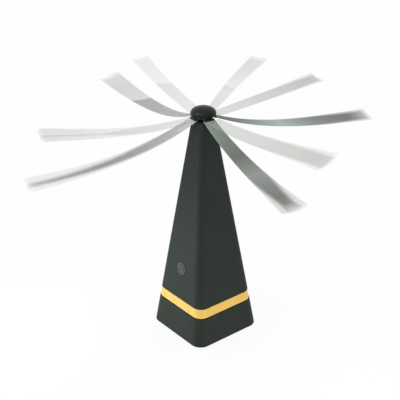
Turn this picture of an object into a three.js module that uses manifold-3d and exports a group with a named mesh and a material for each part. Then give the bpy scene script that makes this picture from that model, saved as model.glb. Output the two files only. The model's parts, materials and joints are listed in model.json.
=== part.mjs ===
// A table-top fan that keeps flies off food: a tapered square tower on a battery base, with a domed
// rotor on top whose four long soft film blades turn slowly and fold at their roots.
// Millimetres, +Z up. The origin is on the table under the rotor's axis. The button faces -Y.

import * as THREE from "three";
import { mergeVertices } from "three/addons/utils/BufferGeometryUtils.js";
import Module from "manifold-3d";

const wasm = await Module();
wasm.setup();

// ---- Driving dimensions -------------------------------------------------------------------------

const GAP = 0.3; // air left between two pieces that seat on each other
const PAST = 1; // how far a cutting shape runs on past the face that it opens

// Housing
const BASE_SIDE = 90.3;
const TOP_SIDE = 20.6;
const TOWER_HEIGHT = 253.2;
const BASE_CORNER = 13;
const TOP_CORNER = 5;
const LEAST_CORNER = 1;
const TOP_EDGE = 1.6;
const WALL = 2.2;
const ROOF = 2.6;
const FOOT_HEIGHT = 1;
const SKIRT_TOP = 34.6;
const BAND_HEIGHT = 11.9;
const BAND_GROOVE = 0.6;
const BAND_INSET = 0.6;
const COLLAR_WALL = 1.8;
const COLLAR_BELOW = 7.4;
const COLLAR_ABOVE = 6.7;

// Base plate, its screws and feet
const PLATE = 3;
const LEDGE_DEPTH = 2.3;
const LEDGE_HEIGHT = 2.5;
const POST_INSET = 9.835; // from the outside at the collar's top to a post's axis
const POST_RADIUS = 3.2;
const POST_TOP = 92;
const BASE_SCREW_RADIUS = 1.25;
const BASE_SCREW_LENGTH = 12;
const BASE_SCREW_HEAD = 2.6;
const BASE_SCREW_HEAD_HEIGHT = 1.2;
const FOOT_RADIUS = 4;
const FOOT_INSET = 10;
const FOOT_SOCKET = 1;

// Battery bay: two cells side by side, lying along X
const CELL_RADIUS = 7.25;
const CELL_LENGTH = 50.5;
const CELL_NUB_RADIUS = 2.6;
const CELL_NUB_HEIGHT = 1.2;
const CELL_SPACE = 0.4;
const TRAY_WALL = 1.5;
const CONTACT = 0.5;
const CONTACT_SIDE = 9;
const SPRING_LENGTH = 5;
const SPRING_RADIUS = 2.6;
const SPRING_WIRE = 0.35;
const SPRING_TURNS = 3;
const DOOR = 1.6;
const DOOR_LIP = 1.8;
const DOOR_PIN_LENGTH = 1.2;
const FINGER_NOTCH = 6;

// Power button, its switch and board, all square to the leaning front face
const BUTTON_HEIGHT = 83;
const BUTTON_RADIUS = 8.6;
const BUTTON_PROUD = 0.5;
const BUTTON_FLANGE = 1.2;
const BUTTON_FLANGE_HEIGHT = 1.3;
const BUTTON_STEM = 1.5;
const BUTTON_STEM_LENGTH = 1.9;
const SWITCH_SIDE = 6;
const SWITCH_HEIGHT = 3.5;
const SWITCH_WELL = 2.2;
const PLUNGER_RADIUS = 1.6;
const PLUNGER_LENGTH = 2.3;
const PLUNGER_OUT = 1.2;
const BOARD_WIDTH = 27;
const BOARD_HEIGHT = 24;
const BOARD = 1.2;
const BOARD_POST_X = 10;
const BOARD_POST_Y = 8.6;
const BOARD_POST_RADIUS = 2.2;
const SMALL_SCREW_RADIUS = 0.9;
const SMALL_SCREW_HEAD = 1.9;
const SMALL_SCREW_HEAD_HEIGHT = 1.1;
const SMALL_SCREW_LENGTH = 7;
const SCREW_HEAD_TOP = 0.8; // a screw head's top, as a share of its width

// Motor, hung under the roof in a wedge-shaped mount
const MOTOR_DROP = 37.4;
const MOTOR_RADIUS = 10;
const MOTOR_LENGTH = 25.7;
const MOTOR_SHELL = 0.8;
const MOTOR_END_CAP = 3;
const MAGNET = 1.5;
const MAGNET_LENGTH = 16;
const MAGNET_ARC = 2.1;
const ARMATURE_AIR = 0.5;
const ARMATURE_LENGTH = 14;
const ARMATURE_SLOT = 1.6;
const SHAFT_RADIUS = 1;
const SHAFT_BELOW_MOTOR = 1.2;
const MOUNT_HEIGHT = 10;
const MOUNT_FLOOR = 3;
const MOUNT_SHOULDER = 3;
const MOUNT_SCREW_INSET = 11.5;
const MOUNT_BOSS_RADIUS = 2.2;
const MOUNT_BOSS_LENGTH = 32;
const MOUNT_SCREW_LENGTH = 16.5;
const TERMINAL_OFFSET = 4.5;
const TERMINAL_WIDTH = 1.8;
const TERMINAL_LENGTH = 6.5;
const BUSH_RADIUS = 2.7;
const BUSH_FLANGE = 0.9;
const BUSH_FLANGE_HEIGHT = 1.2;
const BUSH_ABOVE = 0.2;

// Rotor: hub, domed cap and the four blade pivots
const BLADE_COUNT = 4;
const FIRST_BLADE_ANGLE = -8.7;
const HUB_NECK = 2.5;
const HUB_NECK_BOTTOM = 0.7;
const HUB_RADIUS = 5.8;
const HUB_BOTTOM = 1.9;
const HUB_TOP = 7.8;
const PIVOT_OUT = 8.6;
const PIVOT_ABOVE_TOWER = 4;
const PIN_RADIUS = 0.6;
const BARREL_RADIUS = 1.5;
const BARREL_HALF = 3.1;
const EAR_RADIUS = 1.9;
const EAR = 1.3;
const BARREL_ROOM = 3;
const CAP_RADIUS = 13.8;
const CAP_WALL = 1.6;
const CAP_BOTTOM = 5.3;
const CAP_RIM = 2.4;
const CAP_HEIGHT = 9.8;
const CAP_BOSS = 3.4;
const SHAFT_IN_CAP = 2;

// Blade clip: two thin jaws that grip the film's root
const CLIP_BACK = 2.1;
const CLIP_LENGTH = 2.9;
const CLIP_HALF_WIDTH = 6.4;
const CLIP_JAW = 0.5;
const CLIP_WEB = 0.8;
const CLIP_AIR = 0.25;

// Blade film: each one leaves its clip sloping down, then curves up towards its tip
const FILM = 0.5;
const BLADE_REACH = 203;
const BLADE_ROOT_SLOPE = 24.5;
const BLADE_ROOT_WIDTH = 13.3;
const BLADE_TIP_WIDTH = 25.8;
const BLADE_RISE = 86.5;
const BLADE_LEVEL = -18.4;
const BLADE_TROUGH = 1.6;
const TIP_CORNER = 6;

// The soft film flutters, so each blade is caught at its own sweep, lift and twist at the tip
const FLUTTER = [
  { sweep: -6.8, lift: 1.4, twist: 11 },
  { sweep: -9, lift: -5.6, twist: 10.5 },
  { sweep: 5, lift: 13.5, twist: -12.8 },
  { sweep: 3, lift: -7.6, twist: -10.6 },
];

// Leads
const WIRE_RADIUS = 0.6;
const LEAD_SPREAD = 5; // from the board's middle to where a lead is soldered
const SOLDER_INSET = 3; // from the board's edge to that place
const SUPPLY_RISE = 16;
const SUPPLY_DROOP = 10;
const SUPPLY_OUT = 6;
const FEED_RISE = 14;
const FEED_OUT = 4;
const FEED_HANG = 40;
const FEED_STRAIGHT = 12;
const LEAD_BACK = 4; // how far the leads' middle stretches lie in front of the rotor's axis
const LEAD_END_BACK = 1.5;

// Smoothness
const CORNER_STEPS = 5;
const EDGE_STEPS = 3;
const DOME_STEPS = 6;
const ROUND_STEPS = 20;
const SMALL_STEPS = 10;
const MAGNET_STEPS = 8;
const SPRING_SIDES = 5;
const SPRING_STEPS = 30;
const LEAD_SIDES = 6;
const LEAD_STEPS = 18;
const BLADE_STATIONS = 16;
const BLADE_COLUMNS = 4;
const TIP_STEPS = 4;

// ---- Values that follow from them ---------------------------------------------------------------

const LEAN = Math.atan((BASE_SIDE - TOP_SIDE) / 2 / TOWER_HEIGHT);
const BAND_TOP = SKIRT_TOP + BAND_HEIGHT;
const PLATE_TOP = FOOT_HEIGHT + PLATE;
const COLLAR_TOP = BAND_TOP + COLLAR_ABOVE;
const POST = halfSideAt(COLLAR_TOP) - POST_INSET;
const FOOT = BASE_SIDE / 2 - FOOT_INSET;
const BAY_LENGTH = CELL_LENGTH + SPRING_LENGTH + CONTACT + 5 * GAP;
const BAY_WIDTH = 4 * CELL_RADIUS + 3 * CELL_SPACE;
const DOOR_TOP = FOOT_HEIGHT + DOOR + GAP;
const CELL_AXIS = DOOR_TOP + GAP + CELL_RADIUS;
const CELL_OFFSET = CELL_RADIUS + CELL_SPACE / 2;
const TRAY_CEILING = CELL_AXIS + CELL_RADIUS + GAP;
const WALL_ACROSS = WALL * Math.cos(LEAN);
const FLANGE_FRONT = -WALL_ACROSS - GAP;
const STEM_END = FLANGE_FRONT - BUTTON_FLANGE_HEIGHT - BUTTON_STEM_LENGTH;
const PLUNGER_TOP = STEM_END - GAP;
const SWITCH_TOP = PLUNGER_TOP - PLUNGER_OUT;
const BOARD_FRONT = SWITCH_TOP - SWITCH_HEIGHT - GAP;
const MOTOR_TOP = TOWER_HEIGHT - MOTOR_DROP;
const MOTOR_BOTTOM = MOTOR_TOP - MOTOR_LENGTH;
const MOUNT_BOTTOM = MOTOR_BOTTOM - GAP - MOUNT_FLOOR;
const MOUNT_TOP = MOUNT_BOTTOM + MOUNT_HEIGHT;
const MOTOR_MIDDLE = (MOTOR_BOTTOM + MOTOR_TOP) / 2;
const ROOF_UNDER = TOWER_HEIGHT - ROOF;
const PIVOT_HEIGHT = TOWER_HEIGHT + PIVOT_ABOVE_TOWER;
const SHAFT_TOP = TOWER_HEIGHT + HUB_TOP + SHAFT_IN_CAP;
const CAP_RIM_BOTTOM = TOWER_HEIGHT + CAP_BOTTOM;
const BLADE_LENGTH = BLADE_REACH - PIVOT_OUT;
const SLOT = FILM + 2 * CLIP_AIR;

// ---- Finishes -----------------------------------------------------------------------------------

function finish(color, roughness, metalness) {
  return new THREE.MeshStandardMaterial({ color, roughness, metalness });
}

const blackPlastic = finish(0x353a38, 0.75, 0);
const darkPlastic = finish(0x262a29, 0.6, 0);
const yellowPlastic = finish(0xf2bd58, 0.5, 0);
const palePlastic = finish(0xd8d8d0, 0.6, 0);
const rubber = finish(0x1c1c1c, 0.95, 0);
const film = finish(0x9aa09c, 0.35, 0);
const steel = finish(0xb4b7ba, 0.35, 1);
const brass = finish(0xc9a24e, 0.4, 1);
const bronze = finish(0xa9773f, 0.45, 1);
const ferrite = finish(0x3b3b40, 0.8, 0);
const board = finish(0x2f6b46, 0.6, 0);
const cellJacket = finish(0x8c9298, 0.4, 0.3);
const redWire = finish(0xb83a32, 0.6, 0);
const blackWire = finish(0x222222, 0.6, 0);

const model = new THREE.Group();

function add(name, geometry, material, parent = model) {
  const mesh = new THREE.Mesh(geometry, material);
  mesh.name = name;
  parent.add(mesh);
  return mesh;
}

// ---- Geometry helpers ---------------------------------------------------------------------------

function indexed(positions, triangles) {
  const geometry = new THREE.BufferGeometry();
  geometry.setAttribute("position", new THREE.BufferAttribute(new Float32Array(positions), 3));
  geometry.setIndex([...triangles]);
  geometry.computeVertexNormals();
  return geometry;
}

// One vertex for each corner, and no triangle without an area.
function welded(geometry) {
  const bare = new THREE.BufferGeometry();
  bare.setAttribute("position", geometry.getAttribute("position").clone());
  if (geometry.index) bare.setIndex(geometry.index.clone());
  const merged = mergeVertices(bare, 1e-4);
  const corners = merged.index.array;
  const kept = [];
  for (let i = 0; i < corners.length; i += 3) {
    const [a, b, c] = [corners[i], corners[i + 1], corners[i + 2]];
    if (a !== b && b !== c && c !== a) kept.push(a, b, c);
  }
  return indexed(merged.getAttribute("position").array, kept);
}

function solid(geometry) {
  const clean = welded(geometry);
  const vertProperties = clean.getAttribute("position").array;
  const triVerts = new Uint32Array(clean.index.array);
  return new wasm.Manifold(new wasm.Mesh({ numProp: 3, vertProperties, triVerts }));
}

function shape(body) {
  const mesh = body.getMesh();
  return indexed(mesh.vertProperties, mesh.triVerts);
}

function signedVolume(points, triangles) {
  let total = 0;
  for (let i = 0; i < triangles.length; i += 3) {
    const [a, b, c] = [points[triangles[i]], points[triangles[i + 1]], points[triangles[i + 2]]];
    total += a.dot(new THREE.Vector3().crossVectors(b, c));
  }
  return total / 6;
}

// A closed skin through rings of equally many points. capTriangles closes one ring's own outline.
function loft(rings, capTriangles) {
  const count = rings[0].length;
  const points = rings.flat();
  const triangles = [];
  for (let level = 0; level + 1 < rings.length; level++) {
    for (let i = 0; i < count; i++) {
      const [a, b] = [level * count + i, level * count + ((i + 1) % count)];
      triangles.push(a, b, b + count, a, b + count, a + count);
    }
  }
  const last = (rings.length - 1) * count;
  for (const [a, b, c] of capTriangles) {
    triangles.push(c, b, a);
    triangles.push(last + a, last + b, last + c);
  }
  if (signedVolume(points, triangles) < 0) triangles.reverse();
  return indexed(points.flatMap((point) => point.toArray()), triangles);
}

function fan(count) {
  return Array.from({ length: count - 2 }, (_, i) => [0, i + 1, i + 2]);
}

function cylinder(radius, bottom, top, steps = ROUND_STEPS) {
  const geometry = new THREE.CylinderGeometry(radius, radius, top - bottom, steps);
  geometry.rotateX(Math.PI / 2);
  geometry.translate(0, 0, (bottom + top) / 2);
  return geometry;
}

function box(x0, x1, y0, y1, z0, z1) {
  const geometry = new THREE.BoxGeometry(x1 - x0, y1 - y0, z1 - z0);
  geometry.translate((x0 + x1) / 2, (y0 + y1) / 2, (z0 + z1) / 2);
  return geometry;
}

// A turned piece. The profile is a list of [radius, height] that starts and ends on the axis,
// or closes on itself round a bore.
function turned(profile, steps = ROUND_STEPS) {
  const outline = profile.map(([radius, height]) => new THREE.Vector2(radius, height));
  const geometry = new THREE.LatheGeometry(outline, steps);
  geometry.rotateX(Math.PI / 2);
  const clean = welded(geometry);
  const triangles = clean.index.array;
  const position = clean.getAttribute("position");
  const points = [];
  for (let i = 0; i < position.count; i++) points.push(new THREE.Vector3().fromBufferAttribute(position, i));
  if (signedVolume(points, triangles) < 0) triangles.reverse();
  return clean;
}

function moved(geometry, x, y, z) {
  geometry.translate(x, y, z);
  return geometry;
}

function aroundX(geometry, angle) {
  geometry.rotateX(angle);
  return geometry;
}

// ---- The tapered square outline that every housing piece follows --------------------------------

function halfSideAt(z) {
  return BASE_SIDE / 2 - ((BASE_SIDE - TOP_SIDE) / 2) * (z / TOWER_HEIGHT);
}

function cornerAt(z) {
  return BASE_CORNER - (BASE_CORNER - TOP_CORNER) * (z / TOWER_HEIGHT);
}

function squareRing(inset, z) {
  const half = halfSideAt(z) - inset;
  const radius = Math.max(cornerAt(z) - inset, LEAST_CORNER);
  const ring = [];
  for (let quarter = 0; quarter < 4; quarter++) {
    const start = (quarter * Math.PI) / 2;
    const middle = start + Math.PI / 4;
    const centreX = (half - radius) * Math.sign(Math.cos(middle));
    const centreY = (half - radius) * Math.sign(Math.sin(middle));
    for (let step = 0; step <= CORNER_STEPS; step++) {
      const angle = start + (step / CORNER_STEPS) * (Math.PI / 2);
      ring.push(new THREE.Vector3(centreX + radius * Math.cos(angle), centreY + radius * Math.sin(angle), z));
    }
  }
  return ring;
}

function taper(inset, bottom, top) {
  return solid(loft([squareRing(inset, bottom), squareRing(inset, top)], fan(4 * (CORNER_STEPS + 1))));
}

// The upper outside, with its top edge rounded over.
function roundedTaper(bottom, top) {
  const rings = [squareRing(0, bottom)];
  for (let step = 0; step <= EDGE_STEPS; step++) {
    const angle = (step / EDGE_STEPS) * (Math.PI / 2);
    const inset = TOP_EDGE * (1 - Math.cos(angle));
    const height = top - TOP_EDGE * (1 - Math.sin(angle));
    rings.push(squareRing(inset, height));
  }
  return solid(loft(rings, fan(4 * (CORNER_STEPS + 1))));
}

function cornerPlaces(distance) {
  return [[1, 1], [-1, 1], [-1, -1], [1, -1]].map(([x, y]) => [x * distance, y * distance]);
}

// ---- Frame of the front face: x across, y up the face, z straight out of it ----------------------

function frontFrame() {
  const frame = new THREE.Matrix4().makeRotationX(Math.PI / 2 - LEAN);
  frame.setPosition(0, -halfSideAt(BUTTON_HEIGHT), BUTTON_HEIGHT);
  return frame;
}

function onFront(geometry) {
  geometry.applyMatrix4(frontFrame());
  return geometry;
}

const BOARD_POSTS = [[-BOARD_POST_X, BOARD_POST_Y], [BOARD_POST_X, -BOARD_POST_Y]];
const MOUNT_BOSSES = [[MOUNT_SCREW_INSET, MOUNT_SCREW_INSET], [-MOUNT_SCREW_INSET, -MOUNT_SCREW_INSET]];

// ---- Housing ------------------------------------------------------------------------------------

function towerShell() {
  const outside = taper(WALL / 2, BAND_TOP - PAST, ROOF_UNDER + ROOF / 2);
  let body = roundedTaper(BAND_TOP, TOWER_HEIGHT);
  body = body.subtract(taper(WALL, BAND_TOP - PAST, ROOF_UNDER));
  for (const [x, y] of cornerPlaces(POST)) {
    const reach = solid(moved(cylinder(POST_RADIUS, BAND_TOP - PAST, POST_TOP, SMALL_STEPS), x, y, 0));
    const lower = solid(moved(cylinder(POST_RADIUS, PLATE_TOP + GAP, BAND_TOP, SMALL_STEPS), x, y, 0));
    body = body.add(reach.intersect(outside)).add(lower);
  }
  for (const [x, y] of MOUNT_BOSSES) {
    const start = MOUNT_TOP + GAP;
    const boss = moved(cylinder(MOUNT_BOSS_RADIUS, start, start + MOUNT_BOSS_LENGTH, SMALL_STEPS), x, y, 0);
    body = body.add(solid(boss).intersect(outside));
  }
  for (const [x, y] of BOARD_POSTS) {
    const post = cylinder(BOARD_POST_RADIUS, BOARD_FRONT + GAP, -WALL_ACROSS / 2, SMALL_STEPS);
    body = body.add(solid(onFront(moved(post, x, y, 0))));
  }
  return shape(pilotHoles(body));
}

function pilotHoles(body) {
  let result = body.subtract(solid(cylinder(BUSH_RADIUS + GAP, ROOF_UNDER - PAST, TOWER_HEIGHT + PAST)));
  const opening = cylinder(BUTTON_RADIUS + GAP, -2 * WALL, 2 * WALL);
  result = result.subtract(solid(onFront(opening)));
  for (const [x, y] of cornerPlaces(POST)) {
    const radius = BASE_SCREW_RADIUS + GAP;
    const depth = PLATE_TOP + BASE_SCREW_LENGTH;
    result = result.subtract(solid(moved(cylinder(radius, PLATE_TOP, depth, SMALL_STEPS), x, y, 0)));
  }
  for (const [x, y] of MOUNT_BOSSES) {
    const radius = SMALL_SCREW_RADIUS + GAP;
    const depth = MOUNT_BOTTOM + MOUNT_SCREW_LENGTH + GAP;
    result = result.subtract(solid(moved(cylinder(radius, MOUNT_TOP, depth, SMALL_STEPS), x, y, 0)));
  }
  for (const [x, y] of BOARD_POSTS) {
    const radius = SMALL_SCREW_RADIUS + GAP;
    const end = BOARD_FRONT - BOARD - GAP + SMALL_SCREW_LENGTH + GAP;
    result = result.subtract(solid(onFront(moved(cylinder(radius, BOARD_FRONT, end, SMALL_STEPS), x, y, 0))));
  }
  return result;
}

function trimBand() {
  const bottom = SKIRT_TOP + BAND_GROOVE;
  const top = BAND_TOP - BAND_GROOVE;
  return shape(taper(BAND_INSET, bottom, top).subtract(taper(WALL, bottom - PAST, top + PAST)));
}

// The lower housing. Its collar stands up inside the band and the tower, and its ledge stops the
// base plate.
function baseSkirt() {
  const collarInset = WALL + GAP;
  const collarBottom = SKIRT_TOP - COLLAR_BELOW;
  const ledgeBottom = PLATE_TOP + GAP;
  const ledgeTop = ledgeBottom + LEDGE_HEIGHT;
  return shape(
    taper(0, FOOT_HEIGHT, SKIRT_TOP)
      .add(taper(collarInset, collarBottom, COLLAR_TOP))
      .subtract(taper(WALL, FOOT_HEIGHT - PAST, ledgeBottom))
      .subtract(taper(WALL + LEDGE_DEPTH, ledgeBottom - PAST, ledgeTop + PAST))
      .subtract(taper(WALL, ledgeTop, collarBottom))
      .subtract(taper(collarInset + COLLAR_WALL, collarBottom - PAST, COLLAR_TOP + PAST)),
  );
}

function doorHinge() {
  return { x: -BAY_LENGTH / 2 - DOOR_LIP + GAP + DOOR / 2, z: DOOR_TOP - GAP - DOOR / 2 };
}

function basePlate() {
  const trayX = BAY_LENGTH / 2 + TRAY_WALL;
  const trayY = BAY_WIDTH / 2 + TRAY_WALL;
  const recessX = BAY_LENGTH / 2 + DOOR_LIP;
  const recessY = BAY_WIDTH / 2 + DOOR_LIP;
  const under = FOOT_HEIGHT - PAST;
  const hinge = doorHinge();
  const pinReach = recessY + DOOR_PIN_LENGTH;
  const notch = DOOR / 2 + GAP;
  let body = taper(WALL + GAP, FOOT_HEIGHT, PLATE_TOP);
  body = body.add(solid(box(-trayX, trayX, -trayY, trayY, FOOT_HEIGHT + DOOR, TRAY_CEILING + TRAY_WALL)));
  body = body.subtract(
    solid(box(-BAY_LENGTH / 2, BAY_LENGTH / 2, -BAY_WIDTH / 2, BAY_WIDTH / 2, under, TRAY_CEILING)),
  );
  body = body.subtract(solid(box(-recessX, recessX, -recessY, recessY, under, DOOR_TOP)));
  body = body.subtract(
    solid(box(hinge.x - notch, hinge.x + notch, -pinReach, pinReach, under, hinge.z + notch)),
  );
  body = body.subtract(solid(moved(cylinder(FINGER_NOTCH, under, DOOR_TOP - GAP), recessX, 0, 0)));
  for (const [x, y] of cornerPlaces(FOOT)) {
    const socket = cylinder(FOOT_RADIUS + GAP, under, FOOT_HEIGHT + FOOT_SOCKET);
    body = body.subtract(solid(moved(socket, x, y, 0)));
  }
  for (const [x, y] of cornerPlaces(POST)) {
    const headRoom = cylinder(BASE_SCREW_HEAD + GAP, under, baseScrewSeat(), SMALL_STEPS);
    body = body.subtract(solid(moved(headRoom, x, y, 0)));
    const radius = BASE_SCREW_RADIUS + GAP;
    body = body.subtract(solid(moved(cylinder(radius, under, PLATE_TOP + PAST, SMALL_STEPS), x, y, 0)));
  }
  return shape(body);
}

function baseScrewSeat() {
  return FOOT_HEIGHT + GAP + BASE_SCREW_HEAD_HEIGHT + GAP;
}

function batteryDoor() {
  const hinge = doorHinge();
  const halfWidth = BAY_WIDTH / 2 + DOOR_LIP - GAP;
  const end = BAY_LENGTH / 2 + DOOR_LIP - GAP;
  const pin = cylinder(DOOR / 2, -halfWidth - DOOR_PIN_LENGTH, halfWidth + DOOR_PIN_LENGTH, SMALL_STEPS);
  const panel = box(hinge.x, end, -halfWidth, halfWidth, hinge.z - DOOR / 2, hinge.z + DOOR / 2);
  return shape(solid(panel).add(solid(moved(aroundX(pin, Math.PI / 2), hinge.x, 0, hinge.z))));
}

function screw(radius, length, headRadius, headHeight) {
  return turned(
    [
      [0, -headHeight],
      [headRadius * SCREW_HEAD_TOP, -headHeight],
      [headRadius, -headHeight / 2],
      [headRadius, 0],
      [radius, 0],
      [radius, length - radius],
      [0, length],
    ],
    SMALL_STEPS,
  );
}

function addHousing() {
  add("tower_shell", towerShell(), blackPlastic);
  add("trim_band", trimBand(), yellowPlastic);
  add("base_skirt", baseSkirt(), blackPlastic);
  add("base_plate", basePlate(), darkPlastic);
  add("battery_door", batteryDoor(), darkPlastic);
  cornerPlaces(FOOT).forEach(([x, y], index) => {
    const geometry = cylinder(FOOT_RADIUS, 0, FOOT_HEIGHT + FOOT_SOCKET - GAP);
    const foot = add(`rubber_foot_${index + 1}`, geometry, rubber);
    foot.position.set(x, y, 0);
  });
  cornerPlaces(POST).forEach(([x, y], index) => {
    const geometry = screw(BASE_SCREW_RADIUS, BASE_SCREW_LENGTH, BASE_SCREW_HEAD, BASE_SCREW_HEAD_HEIGHT);
    const piece = add(`base_screw_${index + 1}`, geometry, steel);
    piece.position.set(x, y, baseScrewSeat() - GAP);
  });
}

// ---- Cells and contacts -------------------------------------------------------------------------

function cell() {
  const half = CELL_LENGTH / 2;
  const shoulder = half - CELL_NUB_HEIGHT;
  return turned([
    [0, -half],
    [CELL_RADIUS, -half],
    [CELL_RADIUS, shoulder],
    [CELL_NUB_RADIUS, shoulder],
    [CELL_NUB_RADIUS, half],
    [0, half],
  ]);
}

class Coil extends THREE.Curve {
  getPoint(t, target = new THREE.Vector3()) {
    const angle = t * SPRING_TURNS * 2 * Math.PI;
    const along = SPRING_WIRE + t * (SPRING_LENGTH - 2 * SPRING_WIRE);
    return target.set(along, SPRING_RADIUS * Math.cos(angle), SPRING_RADIUS * Math.sin(angle));
  }
}

function roundSection(radius, sides) {
  const section = new THREE.Shape();
  for (let side = 0; side < sides; side++) {
    const angle = (side / sides) * 2 * Math.PI;
    const [x, y] = [radius * Math.cos(angle), radius * Math.sin(angle)];
    if (side === 0) section.moveTo(x, y);
    else section.lineTo(x, y);
  }
  section.closePath();
  return section;
}

function alongPath(curve, radius, sides, steps) {
  const settings = { steps, bevelEnabled: false, extrudePath: curve };
  return welded(new THREE.ExtrudeGeometry(roundSection(radius, sides), settings));
}

// Cell 1 points to +X and cell 2 to -X. Each has a spring behind it and a flat contact ahead.
function addCells() {
  const shift = (SPRING_LENGTH - CONTACT) / 2;
  [1, -1].forEach((way, index) => {
    const bay = new THREE.Group();
    bay.position.set(0, way * CELL_OFFSET, CELL_AXIS);
    bay.rotation.z = way > 0 ? 0 : Math.PI;
    model.add(bay);
    const jacket = cell();
    jacket.rotateY(Math.PI / 2);
    add(`battery_cell_${index + 1}`, moved(jacket, shift, 0, 0), cellJacket, bay);
    const coil = alongPath(new Coil(), SPRING_WIRE, SPRING_SIDES, SPRING_STEPS);
    const springStart = shift - CELL_LENGTH / 2 - GAP - SPRING_LENGTH;
    add(`contact_spring_${index + 1}`, moved(coil, springStart, 0, 0), steel, bay);
    const start = shift + CELL_LENGTH / 2 + GAP;
    const half = CONTACT_SIDE / 2;
    add(`contact_plate_${index + 1}`, box(start, start + CONTACT, -half, half, -half, half), brass, bay);
  });
}

// ---- Button, switch and board -------------------------------------------------------------------

function powerButton() {
  const flangeBack = FLANGE_FRONT - BUTTON_FLANGE_HEIGHT;
  return turned([
    [0, STEM_END],
    [BUTTON_STEM, STEM_END],
    [BUTTON_STEM, flangeBack],
    [BUTTON_RADIUS + BUTTON_FLANGE, flangeBack],
    [BUTTON_RADIUS + BUTTON_FLANGE, FLANGE_FRONT],
    [BUTTON_RADIUS, FLANGE_FRONT],
    [BUTTON_RADIUS, BUTTON_PROUD / 2],
    [BUTTON_RADIUS - BUTTON_PROUD, BUTTON_PROUD],
    [0, BUTTON_PROUD],
  ]);
}

function switchBody() {
  const half = SWITCH_SIDE / 2;
  const block = solid(box(-half, half, -half, half, SWITCH_TOP - SWITCH_HEIGHT, SWITCH_TOP));
  const well = cylinder(PLUNGER_RADIUS + GAP, SWITCH_TOP - SWITCH_WELL, SWITCH_TOP + PAST, SMALL_STEPS);
  return shape(block.subtract(solid(well)));
}

function controlBoard() {
  const [x, y] = [BOARD_WIDTH / 2, BOARD_HEIGHT / 2];
  let body = solid(box(-x, x, -y, y, BOARD_FRONT - BOARD, BOARD_FRONT));
  for (const [px, py] of BOARD_POSTS) {
    const radius = SMALL_SCREW_RADIUS + GAP;
    const hole = cylinder(radius, BOARD_FRONT - BOARD - PAST, BOARD_FRONT + PAST, SMALL_STEPS);
    body = body.subtract(solid(moved(hole, px, py, 0)));
  }
  return shape(body);
}

function smallScrew(length) {
  return screw(SMALL_SCREW_RADIUS, length, SMALL_SCREW_HEAD, SMALL_SCREW_HEAD_HEIGHT);
}

function addControls() {
  add("power_button", onFront(powerButton()), darkPlastic);
  const plunger = cylinder(PLUNGER_RADIUS, PLUNGER_TOP - PLUNGER_LENGTH, PLUNGER_TOP, SMALL_STEPS);
  add("switch_plunger", onFront(plunger), palePlastic);
  add("switch_body", onFront(switchBody()), darkPlastic);
  add("control_board", onFront(controlBoard()), board);
  BOARD_POSTS.forEach(([x, y], index) => {
    const piece = moved(smallScrew(SMALL_SCREW_LENGTH), x, y, BOARD_FRONT - BOARD - GAP);
    add(`board_screw_${index + 1}`, onFront(piece), steel);
  });
}

// ---- Motor and its mount ------------------------------------------------------------------------

function motorMount() {
  const seat = MOTOR_BOTTOM - GAP;
  let body = taper(WALL + GAP, MOUNT_BOTTOM, MOUNT_TOP);
  body = body.subtract(solid(cylinder(MOTOR_RADIUS + GAP, seat, MOUNT_TOP + PAST)));
  body = body.subtract(solid(cylinder(MOTOR_RADIUS - MOUNT_SHOULDER, MOUNT_BOTTOM - PAST, MOUNT_TOP)));
  for (const [x, y] of MOUNT_BOSSES) {
    const hole = cylinder(SMALL_SCREW_RADIUS + GAP, MOUNT_BOTTOM - PAST, MOUNT_TOP + PAST, SMALL_STEPS);
    body = body.subtract(solid(moved(hole, x, y, 0)));
  }
  return shape(body);
}

function motorCan() {
  const inside = MOTOR_RADIUS - MOTOR_SHELL;
  const ceiling = MOTOR_TOP - MOTOR_SHELL;
  const bore = SHAFT_RADIUS + GAP;
  return turned([
    [inside, MOTOR_BOTTOM],
    [MOTOR_RADIUS, MOTOR_BOTTOM],
    [MOTOR_RADIUS, MOTOR_TOP],
    [bore, MOTOR_TOP],
    [bore, ceiling],
    [inside, ceiling],
    [inside, MOTOR_BOTTOM],
  ]);
}

function motorEndCap() {
  const top = MOTOR_BOTTOM + MOTOR_END_CAP;
  let body = solid(cylinder(MOTOR_RADIUS - MOTOR_SHELL - GAP, MOTOR_BOTTOM, top));
  body = body.subtract(solid(cylinder(SHAFT_RADIUS + GAP, MOTOR_BOTTOM - PAST, top + PAST, SMALL_STEPS)));
  for (const side of [-1, 1]) {
    const slotX = TERMINAL_WIDTH / 2 + GAP;
    const slotY = CONTACT / 2 + GAP;
    const slot = box(-slotX, slotX, -slotY, slotY, MOTOR_BOTTOM - PAST, top + PAST);
    body = body.subtract(solid(moved(slot, side * TERMINAL_OFFSET, 0, 0)));
  }
  return shape(body);
}

function magnet() {
  const outer = MOTOR_RADIUS - MOTOR_SHELL - GAP;
  const inner = outer - MAGNET;
  const outline = new THREE.Shape();
  outline.absarc(0, 0, outer, -MAGNET_ARC / 2, MAGNET_ARC / 2, false);
  outline.absarc(0, 0, inner, MAGNET_ARC / 2, -MAGNET_ARC / 2, true);
  outline.closePath();
  const settings = { depth: MAGNET_LENGTH, bevelEnabled: false, curveSegments: MAGNET_STEPS };
  return moved(new THREE.ExtrudeGeometry(outline, settings), 0, 0, MOTOR_MIDDLE - MAGNET_LENGTH / 2);
}

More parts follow.
